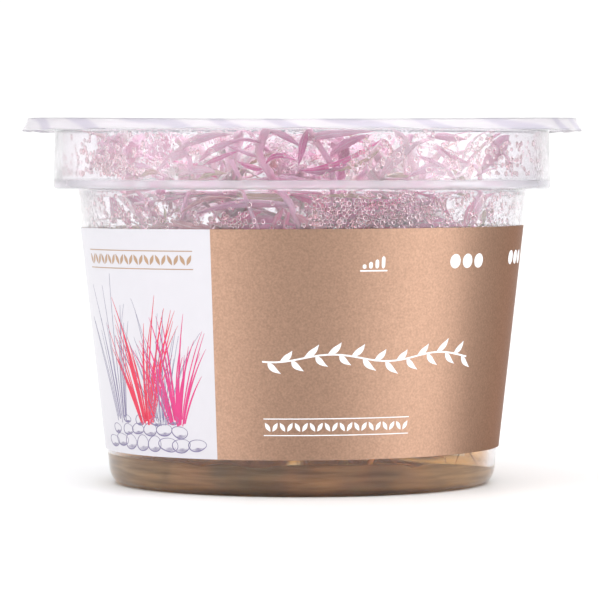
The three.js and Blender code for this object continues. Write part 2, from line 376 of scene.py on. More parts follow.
def keep_inside(points, margin):
    """Bends points that pass the wall up along it, and stops them under the film."""
    out = points.copy()
    radius = compass(out)[1]
    step = np.clip((out[..., 2] - SHOULDER_TOP + 1.5) / 3.0, 0, 1)
    free = mix(wall_radius(np.minimum(out[..., 2], SHOULDER_TOP)) - WALL, COLLAR_HIGH - WALL, step) - margin
    past = np.maximum(radius - free, 0)
    out[..., :2] *= np.minimum(1, free / np.maximum(radius, 1e-6))[..., None]
    out[..., 2] = np.minimum(out[..., 2] + past * 0.8, FLANGE_TOP - 0.2 - margin)
    return out


def stem_control(shoot):
    """A stem's four control points: a foot on a sunflower spiral, and a top that leans out from it."""
    share = math.sqrt((shoot + 0.6) / SHOOTS)
    angle = shoot * GOLDEN_ANGLE

    def lean(n, size):
        """A seeded shift of up to half the size either way."""
        return (chance(shoot * 17 + n) - 0.5) * size

    high = mix(FOOT_SPREAD, TOP_SPREAD, 0.6) * share
    return np.array(
        [
            polar(angle, FOOT_SPREAD * share, FOOT_Z),
            polar(angle + lean(1, 60), FOOT_SPREAD * share + lean(2, 6), mix(FOOT_Z, 62, 0.35)),
            polar(angle + lean(3, 80), high + lean(4, 8), mix(FOOT_Z, 62, 0.7)),
            polar(angle + lean(5, 70), TOP_SPREAD * share * 0.95, 61.5 + lean(6, 8)),
        ]
    )


def stem_radius(t):
    """A stem's radius, thinner towards its top in a straight line."""
    return mix(STEM_THICK, STEM_THIN, t)


def leaf_control(foot, angle, pitch, long, droop):
    """A leaf's three control points: it leaves its foot at a steeper pitch and arches over to its tip."""
    along = polar(angle, 1.0, 0.0)

    def reach(share, lift):
        """The point at a share of the leaf's length, at a pitch: cosine along and sine up."""
        rise = np.array([0.0, 0.0, long * share * math.sin(math.radians(lift))])
        return foot + along * long * share * math.cos(math.radians(lift)) + rise

    return np.array([foot, reach(0.55, pitch + droop), reach(1, pitch)])


def fits(at, radius, share, shoot, own, placed):
    """Whether a leaf, as a row of spheres, is inside the tub and clear of every sphere placed so far."""
    z = at[:, 2]
    across = compass(at)[1]
    inside = (across + radius < inside_radius(z) - 0.8) & (z + radius < FLANGE_TOP - 0.4)
    inside &= z - radius > GEL_TOP + 1
    step_clear = across + radius < inside_radius(SHOULDER_UNDER) - 0.8
    inside &= (np.abs(z - SHOULDER_TOP) > 2.5) | step_clear
    if not inside.all():
        return False
    gap = np.linalg.norm(at[:, None] - placed["at"][None], axis=2)
    same = placed["owner"] == shoot
    skip = same & placed["grown"] & (not own)
    room = np.where(same[None] & (share < 0.3)[:, None], LEAF_GAP, radius[:, None] + CLEARANCE)
    return bool(((gap > placed["radius"] + room) | skip).all())


def add_spheres(placed, at, radius, owner, grown):
    """Notes a row of spheres, the shoot that it belongs to, and whether it is one piece with its stem."""
    rows = {"at": at, "radius": radius, "owner": np.full(len(at), owner), "grown": np.full(len(at), grown)}
    for key, value in rows.items():
        placed[key] = np.concatenate([placed[key], value]) if key in placed else value


def grow_shoots():
    """Stems first, then each pair of leaves tries seeded angles and pitches until it is clear of the rest."""
    placed, shoots = {}, []
    stem_t = np.linspace(0, 1, 41)
    for k in range(SHOOTS):
        control = stem_control(k)
        shoots.append({"control": control, "leaves": []})
        add_spheres(placed, bezier(control, stem_t), stem_radius(stem_t), k, True)
    leaf_t = np.linspace(0, 1, 15)
    for p, (at, long, wide, own) in enumerate(PAIRS):
        radius = wide * np.sin(np.pi * mix(0.12, 0.96, leaf_t))
        for k, shoot in enumerate(shoots):
            for half in range(2):
                seed = 1000 + k * 97 + p * 13 + half * 7
                for go in range(TRIES):
                    swing = 0 if go == 0 else (chance(seed + go * 31) - 0.5) * 100
                    angle = k * 71 + p * 90 + half * 180 + swing
                    pitch = mix(-5, 60, chance(seed + go * 37 + 1))
                    size = long * mix(1.1, 0.75, go / TRIES)
                    out, _ = square_to(bezier_direction(shoot["control"], at), polar(angle, 1.0, 0.0))
                    clear = stem_radius(at) + (LEAF_GAP + 0.05 if own else -0.4)
                    control = leaf_control(bezier(shoot["control"], at) + out * clear, angle, pitch, size, 28)
                    spheres = bezier(control, leaf_t)
                    if fits(spheres, radius, leaf_t, k, own, placed):
                        shoot["leaves"].append({"control": control, "angle": angle, "wide": wide, "own": own})
                        add_spheres(placed, spheres, radius, k, not own)
                        break
    return shoots


class Nodes:
    """Short ways to add nodes to one tree. Each takes sockets or plain values and gives an output."""

    def __init__(self, tree):
        """Keeps the tree that the nodes go into."""
        self.tree = tree

    def feed(self, socket, value):
        """Links a socket or sets its plain value."""
        if isinstance(value, bpy.types.NodeSocket):
            self.tree.links.new(value, socket)
        else:
            socket.default_value = (*value, 1.0) if socket.type == "RGBA" else value

    def add(self, kind, inputs=None, **settings):
        """A new node with its own settings and its inputs."""
        node = self.tree.nodes.new("ShaderNode" + kind)
        for key, value in settings.items():
            setattr(node, key, value)
        for key, value in (inputs or {}).items():
            self.feed(node.inputs[key], value)
        return node

    def place(self, kind="Object"):
        """Coordinates: the piece's own, or a direction in the room."""
        return self.add("TexCoord").outputs[kind]

    def noise(self, scale, detail=3.0, stretch=(1, 1, 1)):
        """A noise pattern in the piece's own coordinates, stretched by a mapping."""
        mapped = self.add("Mapping", {"Vector": self.place(), "Scale": stretch}).outputs["Vector"]
        return self.add("TexNoise", {"Vector": mapped, "Scale": scale, "Detail": detail}).outputs["Fac"]

    def point_value(self, name):
        """A value that the mesh holds at its points."""
        return self.add("Attribute", attribute_name=name).outputs["Fac"]

    def ramp(self, source, *stops):
        """A colour ramp with stops of position and colour."""
        node = self.add("ValToRGB", {"Fac": source})
        while len(node.color_ramp.elements) < len(stops):
            node.color_ramp.elements.new(0.5)
        for element, (position, colour) in zip(node.color_ramp.elements, stops):
            element.position = position
            element.color = (*colour, 1.0)
        return node.outputs["Color"]

    def shades(self, source, base, dark, light=1.0):
        """A colour that wanders between two multiples of itself, none of its shares over 1."""
        low, high = (tuple(min(1, c * share) for c in base) for share in (dark, light))
        return self.ramp(source, (0.3, low), (0.7, high))

    def spread(self, source, low, high, to_low, to_high):
        """The range from low to high carried over to another one."""
        ends = {"From Min": low, "From Max": high, "To Min": to_low, "To Max": to_high}
        return self.add("MapRange", {"Value": source, **ends}).outputs["Result"]

    def math(self, operation, first, second):
        """One step of arithmetic on two values."""
        return self.add("Math", {0: first, 1: second}, operation=operation).outputs["Value"]

    def blend(self, share, first, second, mode="MIX"):
        """Two colours mixed, or multiplied, by a share."""
        return self.add("Mix", {0: share, 6: first, 7: second}, data_type="RGBA", blend_type=mode).outputs[2]


class Finish(Nodes):
    """A material with one Principled shader."""

    def __init__(self, name, **values):
        """A new material with its shader's sockets set."""
        self.material = bpy.data.materials.new(name)
        self.material.use_nodes = True
        super().__init__(self.material.node_tree)
        self.set(**values)

    def set(self, **values):
        """Sets or links sockets of the shader, written with _ for each space in their names."""
        for key, value in values.items():
            self.feed(self.tree.nodes["Principled BSDF"].inputs[key.replace("_", " ")], value)

    def bump(self, height, strength, distance):
        """Small relief from a pattern, its distance in metres."""
        node = self.add("Bump", {"Strength": strength, "Distance": distance, "Height": height})
        self.set(Normal=node.outputs["Normal"])


def clear_plastic(name, colour, roughness, haze, grain):
    """Clear polypropylene: see-through, with a milky share and faint flow marks on its skin."""
    plastic = Finish(name, IOR=PLASTIC_IOR, Transmission_Weight=1.0 - haze, Roughness=roughness)
    plastic.set(Base_Color=plastic.shades(plastic.noise(60.0), colour, 0.985))
    plastic.bump(plastic.noise(grain, 4.0), 0.25, 0.00005)
    return plastic


def length(name, description, default):
    """A setting in metres."""
    return bpy.props.FloatProperty(
        name=name, description=description, default=default, min=0.0, unit="LENGTH", precision=5
    )


def share_of(name, description, default):
    """A setting from 0 to 1."""
    return bpy.props.FloatProperty(
        name=name, description=description, default=default, min=0.0, max=1.0, subtype="FACTOR"
    )


def number(name, description, default, least=0):
    """A setting that counts."""
    return bpy.props.IntProperty(name=name, description=description, default=default, min=least)


def colour(name, description, default):
    """A setting of red, green and blue."""
    return bpy.props.FloatVectorProperty(
        name=name, description=description, default=default, min=0.0, max=1.0, size=3, subtype="COLOR"
    )


class TubSettings(bpy.types.PropertyGroup):
    """Sizes and colours of the vessel"""

    ruffle: length("Ruffle", "How far the film's skirt waves in and out", 0.00034)
    ruffles: number("Ruffles", "Waves round the film's skirt", 23, 8)
    plastic: colour("Plastic", "Tint of the clear tub", (0.97, 0.955, 0.985))
    thick: colour("Thick plastic", "Tint of the plastic at the step and the flange", (0.93, 0.905, 0.97))
    plastic_haze: share_of("Haze", "Milky share of the tub's plastic", 0.03)
    edge_haze: share_of("Edge haze", "Milky share where the plastic is thick", 0.42)
    collar_haze: share_of("Collar haze", "Milky share of the collar", 0.075)
    film: colour("Film", "Tint of the lid film", (0.955, 0.95, 0.975))
    smear: colour("Smear", "Tint of the wall just above the gel", (0.95, 0.52, 0.16))
    gel: colour("Gel", "Colour that the gel lets through", (0.66, 0.45, 0.2))


class LabelSettings(bpy.types.PropertyGroup):
    """Colours of the wrap label and its print"""

    bronze: colour("Bronze", "Metallic ink of the label's main part", (0.478, 0.303, 0.217))
    # The label back's warm, bright colour is painted glow of light that passes through the label
    back: colour("Label back with painted glow", "Glued side of the label", (0.92, 0.62, 0.32))
    paper: colour("Paper", "Unprinted part of the label", (0.6, 0.585, 0.622))
    red: colour("Red grass", "Ink of the printed red grass", (0.68, 0.02, 0.07))
    pink: colour("Pink grass", "Ink of the printed pink grass", (0.66, 0.03, 0.2))
    pebble: colour("Pebbles", "Pen ink of the printed pebbles and grey grass", (0.20, 0.17, 0.30))


class PlantSettings(bpy.types.PropertyGroup):
    """Colours and numbers of the plants"""

    leaf_light: colour("Pale leaf", "Palest leaf colour", (0.96, 0.8, 0.81))
    leaf_deep: colour("Deep leaf", "Deepest leaf colour", (0.92, 0.1, 0.36))
    stem: colour("Stem", "Colour of the stems", (0.88, 0.5, 0.65))
    root: colour("Root", "Colour of the roots", (0.36, 0.2, 0.08))
    extra_leaves: number("Extra leaves", "Further leaf pairs on each stem", 5)
    side_shoots: number("Side shoots", "Thin young shoots", 22)
    drops: number("Drops", "Most fine condensation drops", 11000)


class TUB_OT_shell(bpy.types.Operator):
    """Clear tub: its profile with every corner rounded, carried round the axis"""

    bl_idname = "plant_tub.shell"
    bl_label = "Tub"

    def execute(self, context):
        inner_step = SHOULDER_TOP - 0.12
        profile = [
            (0, BASE_RECESS),
            (FOOT_RADIUS - FOOT_WIDTH - 0.7, BASE_RECESS),
            (FOOT_RADIUS - FOOT_WIDTH, 0),
            (FOOT_RADIUS - 0.6, 0),
            (FOOT_RADIUS + 0.65, 0.75),
            (WALL_LOW[1], WALL_LOW[0]),
            *[(wall_radius(z), z) for z in (FOOT_TO, 30.0, BAND_FROM)],
            (WALL_HIGH[1], WALL_HIGH[0]),
            (WALL_HIGH[1] + 0.35, SHOULDER_UNDER - 0.2),
            (WALL_HIGH[1] + 0.9, SHOULDER_UNDER),
            (COLLAR_LOW - 0.45, SHOULDER_UNDER),
            (COLLAR_LOW, SHOULDER_UNDER + 0.45),
            (COLLAR_LOW - 0.03, SHOULDER_TOP),
            (mix(COLLAR_LOW, COLLAR_HIGH, 0.8), 67.0),
            (COLLAR_HIGH, FLANGE_UNDER),
            (FLANGE_RADIUS, FLANGE_UNDER),
            (FLANGE_RADIUS, FLANGE_TOP),
            (COLLAR_HIGH - WALL, FLANGE_TOP),
            (COLLAR_LOW - WALL, SHOULDER_TOP + 0.5),
            (COLLAR_LOW - WALL, SHOULDER_TOP + 0.15),
            (COLLAR_LOW - WALL - 0.15, SHOULDER_TOP),
            (inside_radius(inner_step) + 0.12, SHOULDER_TOP),
            (inside_radius(inner_step), inner_step),
            *[(inside_radius(z), z) for z in (56.5, BAND_FROM, 30.0, 12.0, 7.4, 6.4, 5.4, 3.6)],
            (inside_radius(FLOOR_TOP + 1.5) - 0.1, FLOOR_TOP + 1.3),
            *floor_channel(0.0),
        ]
        points, quads, triangles = revolve(rounded(profile, 0.6), TUB_COLUMNS)
        self.follow_gel(points)
        around = compass(points)[0]
        fog = np.clip((np.abs(around) - 20) / 22, 0, 1) * (0.8 + 0.2 * np.sin(np.radians(around * 5)))
        fog = np.maximum(fog, 1.5 * np.clip((points[:, 2] - 67) / 1.2, 0, 1))
        finishes = self.finishes(context.scene.tub_settings)
        tub = put_mesh("tub_shell", (points, quads, triangles), finishes, values={"fog": fog})
        middle, angle, reach = face_centres(tub)
        z = middle[:, 2]
        inner_wall = np.where(z > SHOULDER_TOP - 0.1, COLLAR_HIGH, wall_radius(z)) - 0.6 * WALL
        inner = reach < inner_wall
        finish = np.full(len(z), CLEAR, dtype=np.int32)
        finish[~inner & (z > BAND_FROM)] = FOGGED
        finish[z < FOOT_TO] = FOOT
        finish[inner & (z > BAND_FROM)] = MISTED
        finish[inner & (z < np.where(np.abs(angle) > 165, FOOT_TO + 4, FOOT_TO))] = SMEARED
        finish[inner & (z > BASE_RECESS + 0.15) & (z < wet_line(angle))] = WETTED
        finish[~inner & (z > SHOULDER_UNDER - 0.05) & (z < SHOULDER_TOP + 0.15)] = THICK
        finish[z > FLANGE_UNDER - 0.2] = THICK
        tub.data.polygons.foreach_set("material_index", finish)
        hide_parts("tub")
        return {"FINISHED"}

    def finishes(self, settings):
        """The plastic's finishes in the order of their numbers. The collar's milky share follows its fog."""
        tint, haze, fog = settings.plastic, settings.plastic_haze, settings.collar_haze
        wetted = clear_plastic("Wetted plastic", tint, 0.24, 0.0, 220.0)
        wetted.set(IOR=PLASTIC_IOR / GEL_IOR)
        fogged = clear_plastic("Fogged plastic", tint, 0.04, fog, 180.0)
        milky = fogged.spread(fogged.point_value("fog"), 0.0, 1.5, 1.0 - 0.7 * fog, 1.0 - 3.0 * fog)
        fogged.set(Transmission_Weight=milky)
        misted = clear_plastic("Misted plastic", tint, 0.08, haze, 220.0)
        self.mist(misted)
        return [
            clear_plastic("Clear plastic", tint, 0.07, haze, 220.0),
            wetted,
            clear_plastic("Thick milky plastic", settings.thick, 0.2, settings.edge_haze * 0.75, 160.0),
            fogged,
            misted,
            clear_plastic("Foot plastic", tint, 0.06, 0.0, 220.0),
            clear_plastic("Gel-smeared plastic", settings.smear, 0.12, 0.0, 140.0),
        ]

    def follow_gel(self, points):
        """Slides the inner wall's rows near the gel's top along the taper: one row then lies on the wet line."""
        z = points[:, 2].copy()
        angle, reach = compass(points)
        inner = np.abs(reach - inside_radius(z)) < 0.02
        near = np.clip((z - 3.4) / 2.6, 0, 1) * np.clip((11.9 - z) / 4.5, 0, 1) * inner
        points[:, 2] += near * (wet_line(angle) - WET_ROW)
        points[:, :2] *= np.where(inner, inside_radius(points[:, 2]) / inside_radius(z), 1)[:, None]

    def mist(self, plastic):
        """Breath of moisture on the inside: tiny cell-shaped bumps, in drifts."""
        cells = plastic.add("TexVoronoi", {"Vector": plastic.place(), "Scale": 1400.0}).outputs["Distance"]
        drift = plastic.spread(plastic.noise(55.0, 2.0), 0.46, 0.6, 0.0, 1.0)
        dome = plastic.spread(cells, 0.0, 0.55, 1.0, 0.0)
        plastic.bump(plastic.math("MULTIPLY", dome, drift), 0.25, 0.0001)
        plastic.set(Roughness=plastic.spread(plastic.noise(38.0, 2.0), 0.3, 0.75, 0.0, 0.05))


class TUB_OT_film(bpy.types.Operator):
    """Lid film: a drum-tight sheet whose rim turns down into a ruffled skirt"""

    bl_idname = "plant_tub.film"
    bl_label = "Lid film"

    def execute(self, context):
        settings = context.scene.tub_settings
        angle = 360 * np.arange(FILM_COLUMNS) / FILM_COLUMNS
        turn = np.radians(angle)
        phase = settings.ruffles * turn + 1.6 * np.sin(4 * turn + 0.4)
        phase += 1.0 * np.sin(9 * turn + 2.0) + 0.5 * np.sin(17 * turn)
        wave = np.sin(phase) * settings.ruffle * 1000 * (0.75 + 0.25 * np.sin(7 * turn + 1.0))
        lift = CREST_LIFT * np.sin(turn) ** 2
        out = (12, 24, 36, 42, 46, 48, 50, 52)
        down = np.linspace(0, 1, 9)
        rings = [
            *[self.sheet(angle, phase, radius, FLANGE_TOP) for radius in out],
            polar(angle, FLANGE_RADIUS + 0.2, FLANGE_TOP),
            *[self.skirt(angle, wave, lift, share, True) for share in down],
            *[self.skirt(angle, wave, lift, share, False) for share in down[::-1]],
            polar(angle, FLANGE_RADIUS - 0.2, FILM_TOP + 0.25 * lift),
            *[self.sheet(angle, phase, radius, FILM_TOP) for radius in out[::-1]],
        ]
        first, last = (polar(0, 0, np.array([level + DOME])) for level in (FLANGE_TOP, FILM_TOP))
        sheet = clear_plastic("Lid film", settings.film, 0.1, 0.03, 90.0)
        rim = clear_plastic("Film rim with painted fold shade", settings.film, 0.3, settings.edge_haze, 90.0)
        # Painted shade: the rim's colour turns from a darker bluish tone in the dips of the ruffle to white on
        # its crests, as the shade and light of the folds would fall
        painted_fold_shade = (0.12, (0.8, 0.765, 0.85)), (0.3, (0.885, 0.85, 0.91)), (0.45, (0.95, 0.92, 0.955))
        rim.set(Base_Color=rim.ramp(rim.point_value("fold"), *painted_fold_shade))
        # The painted fold shade follows the ruffle's wave, slanted with each ring's height
        level = np.repeat([ring[:, 2].mean() - FILM_TOP for ring in rings], FILM_COLUMNS)
        fold = 0.5 + 0.5 * np.sin(np.tile(phase, len(rings)) + 1.3 * level)
        surface = skin(np.stack(rings)[None], first, last)
        film = put_mesh("film", surface, [sheet, rim], values={"fold": np.append(fold, (0.5, 0.5))})
        film.data.polygons.foreach_set("material_index", (face_centres(film)[2] > RIM_FROM).astype(np.int32))
        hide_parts("lid_film")
        return {"FINISHED"}

    def sheet(self, angle, phase, radius, level):
        """The drum skin: a shallow dome, flat on the seal, with fine pull lines that fade towards the middle."""
        share = min(radius / DOME_RADIUS, 1.0)
        dome = DOME * (1 - share**2)
        pull = 0.03 * np.sin(phase * 0.5) * share**4 if share < 1 else 0
        return polar(angle, radius, level + dome + pull)

    def skirt(self, angle, wave, lift, share, under):
        """The rim: it rolls over the crest and falls to the skirt's edge, waving more the lower it is."""
        bend = share**1.6
        radius = mix(CREST_RADIUS, SKIRT_RADIUS, bend) + wave * bend - SKIRT_THICKNESS * under
        crest = FILM_TOP + lift - 0.3 * (1 - share) * under
        return polar(angle, radius, mix(crest, SKIRT_LOW + 0.35 * wave, share**1.15))


def label_place(angle, z, out, lean=0.0):
    """A point of the label a little outside the wall. The label hangs lower at its left."""
    z = z + LABEL_TILT * WALL_HIGH[1] * np.sin(np.radians(angle))
    return polar(angle + lean, wall_radius(z) + out, z)


class TUB_OT_label(bpy.types.Operator):
    """Wrap label: a strip on the tapered wall from one end round to the other, white and bronze"""

    bl_idname = "plant_tub.label"
    bl_label = "Label"

    def execute(self, context):
        settings = context.scene.label_settings
        white, bronze = np.linspace(LABEL_ENDS[0], WHITE_EDGE, 110), np.linspace(WHITE_EDGE, LABEL_ENDS[1], 150)
        angle = np.concatenate([white, bronze[1:]])
        face = LABEL_GAP + LABEL_THICKNESS
        rings = [(face, z) for z in np.linspace(LABEL_HIGH, LABEL_LOW, 9)]
        rings = [(LABEL_GAP, LABEL_HIGH), *rings, (LABEL_GAP, LABEL_LOW)]
        lean = bell(angle - WHITE_EDGE, 6.0) * WHITE_LEAN
        section = np.stack([label_place(angle, z, out, lean * (z - LABEL_LOW)) for out, z in rings], axis=1)
        middle = section.mean(axis=1)
        finishes = [self.bronze(settings.bronze), self.paper(settings.paper), self.back(settings.back)]
        label = put_mesh("wrap_label", skin(section[None], middle[:1], middle[-1:]), finishes, sharp=40)
        middle, direction, reach = face_centres(label)
        finish = (direction < WHITE_EDGE + WHITE_LEAN * (middle[:, 2] - LABEL_LOW)).astype(np.int32)
        finish[reach < wall_radius(middle[:, 2]) + LABEL_GAP + 0.4 * LABEL_THICKNESS] = 2
        label.data.polygons.foreach_set("material_index", finish)
        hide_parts("label")
        return {"FINISHED"}

    def bronze(self, base):
        """Metallic ink: fine light and dark flakes in the colour, and a grained gloss that runs round."""
        ink = Finish("Bronze ink", Metallic=0.95, Anisotropic=0.85, Anisotropic_Rotation=0.25)
        flake = ink.noise(2600.0, 2.0)
        grain = ink.add("Tangent", direction_type="RADIAL", axis="Z").outputs["Tangent"]
        gloss = ink.spread(ink.noise(900.0), 0.3, 0.7, 0.47, 0.53)
        ink.set(Specular_Tint=(0.55, 0.42, 0.38), Tangent=grain, Roughness=gloss)
        ink.set(Base_Color=ink.shades(flake, base, 0.86, 1.12))
        ink.bump(flake, 0.12, 0.00003)
        return ink

    def back(self, base):
        """The glued side, seen through the tub: warm and bright, as the bronze shows through, a painted glow of
        light that passes through the label.
        """
        glued_side_painted_glow = Finish("Label back with painted glow", Roughness=0.5)
        glued_side_painted_glow.set(Base_Color=glued_side_painted_glow.shades(glued_side_painted_glow.noise(120.0), base, 0.85))
        return glued_side_painted_glow

    def paper(self, base):
        """Coated white paper: a faint mottle, half glossy."""
        paper = Finish("White paper", Roughness=0.35)
        paper.set(Base_Color=paper.shades(paper.noise(350.0), base, 0.985))
        paper.bump(paper.noise(1500.0), 0.08, 0.00002)
        return paper


def printed(paths, half_width):
    """Ink strokes: each path of angle and height in label millimetres gets a width square to it.

    paths is strokes by stations by 2, in millimetres along the label and up. A stroke is a thin closed
    strip with its back just inside the label's face.
    """
    direction = unit(np.gradient(paths, axis=1))
    square = np.stack([-direction[..., 1], direction[..., 0]], axis=-1) * half_width[..., None]
    face = LABEL_GAP + LABEL_THICKNESS
    corners = ((1, -INK_DEPTH), (1, INK_HEIGHT), (-1, INK_HEIGHT), (-1, -INK_DEPTH))
    edges = [(paths + side * square, face + out) for side, out in corners]
    rings = [label_place(np.degrees(flat[..., 0] / LABEL_RADIUS), flat[..., 1], out) for flat, out in edges]
    rings = np.stack(rings, axis=2)
    return skin(rings, rings[:, 0].mean(axis=1), rings[:, -1].mean(axis=1))


class TUB_OT_print(bpy.types.Operator):
    """Print: dots, a sprig and small marks in white on the bronze, grass tufts over pebbles on the white part"""

    bl_idname = "plant_tub.print"
    bl_label = "Label print"

    def execute(self, context):
        settings = context.scene.label_settings
        white, grey = self.ink("White ink", (0.85, 0.85, 0.87)), self.ink("Pen ink", settings.pebble)
        line = self.ink("Bronze line ink", (0.41, 0.26, 0.16))
        red, pink = self.ink("Red ink", settings.red), self.ink("Pink ink", settings.pink)
        for name, strokes, ink in (
            ("print_dots", self.discs(), white),
            ("print_sprig", self.sprig(-7.6, 36.0, 26.2, 19), white),
            ("print_steps", self.steps(), white),
            ("print_band", self.border(-7.6, 22.0, 11.8, 14.9, 20), white),
            ("print_border", self.border(-52.0, -20.6, 42.7, 46.1, 22), line),
            ("print_red_grass", self.grass(26, -35.0, 27.0, 52, -3.0, 100), red),
            ("print_pink_grass", self.grass(24, -26.6, 22.0, 44, -2.0, 300), pink),
            ("print_fine_grass", self.grass(22, -31.0, 25.0, 50, -4.0, 700, 0.045), grey),
            ("print_reeds", self.grass(13, -44.0, 31.0, 26, -5.0, 500, 0.07), grey),
            ("print_pebbles", self.pebbles(), grey),
        ):
            paths, widths = (np.array(part) for part in zip(*strokes))
            piece = put_mesh(name, printed(paths, widths), [ink], sharp=40)
        return {"FINISHED"}

    def ink(self, name, base):
        """A flat ink with a faint mottle."""
        ink = Finish(name, Roughness=0.4)
        ink.set(Base_Color=ink.shades(ink.noise(500.0), base, 0.9))
        return ink

    def discs(self):
        """Discs: a short stroke whose half width follows a half circle."""
        across = np.linspace(-0.985, 0.985, 17)
        level = np.stack([across * 1.32, np.zeros(17)], axis=1)
        places = [(left + 3.25 * i, z) for left, z in ((30.7, 43.9), (50.4, 44.25)) for i in range(3)]
        return [(np.array(place) + level, 1.35 * np.sqrt(1 - across**2)) for place in places]

    def sprig(self, left, right, level, leaves):
        """A level sprig: one long gentle wave for its stem, and leaves set off it to both sides in turn."""
        t = np.linspace(0, 1, 33)

        def stem(x):
            """A sine wave about the level."""
            return np.stack([x, level + 0.7 * np.sin(x * 0.28)], axis=-1)

        strokes = [(stem(mix(left, right, t)), np.full(33, 0.16))]
        for i in range(leaves):
            up = 1 if i % 2 else -1
            reach = np.array([2.6, 2.3 * up]) * mix(0.85, 1.1, chance(i + 500))
            belly = np.sin(np.pi * t)[:, None] * 0.3 * np.array([up, -0.3])
            base = stem(mix(left + 1.1, right - 1.5, i / (leaves - 1)))
            strokes.append((base + t[:, None] * reach + belly, 0.04 + 0.52 * np.sin(np.pi * t**0.8) ** 1.2))
        return strokes

    def steps(self):
        """Small bars of rising height on a level line, a plain mark beside the dots."""
        t = np.linspace(-1, 1, 9)
        strokes = [(np.stack([13.2 + 2.6 * t, np.full(9, 42.4)], axis=1), np.full(9, 0.13))]
        for i, tall in enumerate((0.8, 1.25, 1.7, 2.3)):
            middle = np.stack([np.full(9, 11.4 + 1.2 * i), 42.8 + tall / 2 * (t + 1)], axis=1)
            strokes.append((middle, 0.34 * (1 - 0.9 * np.abs(t) ** 6)))
        return strokes

    def border(self, left, right, low, high, seeds):
        """A band: two fine rules with a row of slanted seeds between them, which lean to and fro in turn."""
        t = np.linspace(0, 1, 33)
        rules = [np.stack([mix(left, right, t), np.full(33, z)], axis=1) for z in (low, high)]
        strokes = [(rule, np.full(33, 0.09)) for rule in rules]
        for i in range(seeds):
            x = mix(left + 0.8, right - 0.8, i / (seeds - 1))
            lean = 0.5 if i % 2 else -0.5
            path = np.stack([x + lean * (2 * t - 1), mix(low + 0.75, high - 0.75, t)], axis=1)
            strokes.append((path, 0.03 + 0.36 * np.sin(np.pi * t) ** 1.1))
        return strokes

    def grass(self, count, middle, tall, fan, bias, seed, width=0.17):
        """A tuft: blades from nearly one root, spread over a fan of angles, that bow outwards to fine tips."""
        t = np.linspace(0, 1, 15)
        strokes = []
        for i in range(count):
            share = (i + 0.5) / count - 0.5 + 0.05 * (chance(seed + i) - 0.5)
            root = np.array([middle + share * 4.2, 13.0 + 1.6 * chance(seed + 50 + i)])
            long = tall * mix(0.5, 1.0, chance(seed + 90 + i)) * (1 - 0.3 * abs(share))
            lean = math.radians(share * fan + bias)
            bow = long * mix(0.0, 0.16, chance(seed + 170 + i)) * (1 if share > 0 else -1)
            ahead = np.array([math.sin(lean), math.cos(lean)])
            path = root + t[:, None] * long * ahead + (t**2.2)[:, None] * np.array([bow, -abs(bow) * 0.5])
            wide = width * mix(0.6, 1.5, chance(seed + 210 + i))
            strokes.append((path, wide * np.sin(np.pi * mix(0.3, 0.99, t)) ** 0.9 + 0.015))
        return strokes

    def pebbles(self):
        """Pebbles: wobbly rings heaped in three rows, each shaded by short arcs along its lower right."""
        strokes = []
        t = np.linspace(0, 1, 25)
        turn = 2 * np.pi * t
        rows = ((-49.0, 3.9, 8, 9.6, 2.1), (-46.4, 4.1, 6, 12.0, 1.75), (-41.8, 4.6, 4, 14.0, 1.35))
        for row, (start, step, count, level, size) in enumerate(rows):
            for i in range(count):
                n = row * 20 + i
                wide, tall = size * mix(0.9, 1.2, chance(n + 400)), size * mix(0.52, 0.7, chance(n + 420))
                shift = 0.8 * (chance(n + 440) - 0.5), 0.5 * (chance(n + 460) - 0.5)
                middle = np.array([start + i * step + shift[0], level + shift[1]])
                wobble = 1 + 0.07 * np.sin(2 * turn + 6 * chance(n + 480)) + 0.04 * np.sin(3 * turn + n)
                ring = np.stack([wide * wobble * np.cos(turn), tall * wobble * np.sin(turn)], axis=1)
                strokes.append((middle + ring, 0.045 + 0.07 * (0.5 - 0.5 * np.sin(turn + 0.6))))
                for j in range(4):
                    arc = mix(4.0 + 0.15 * j, 5.9 - 0.2 * j, t)
                    inner = (0.84 - 0.13 * j) * np.stack([wide * np.cos(arc), tall * np.sin(arc)], axis=1)
                    strokes.append((middle + inner, 0.015 + 0.035 * np.sin(np.pi * t)))
        return strokes


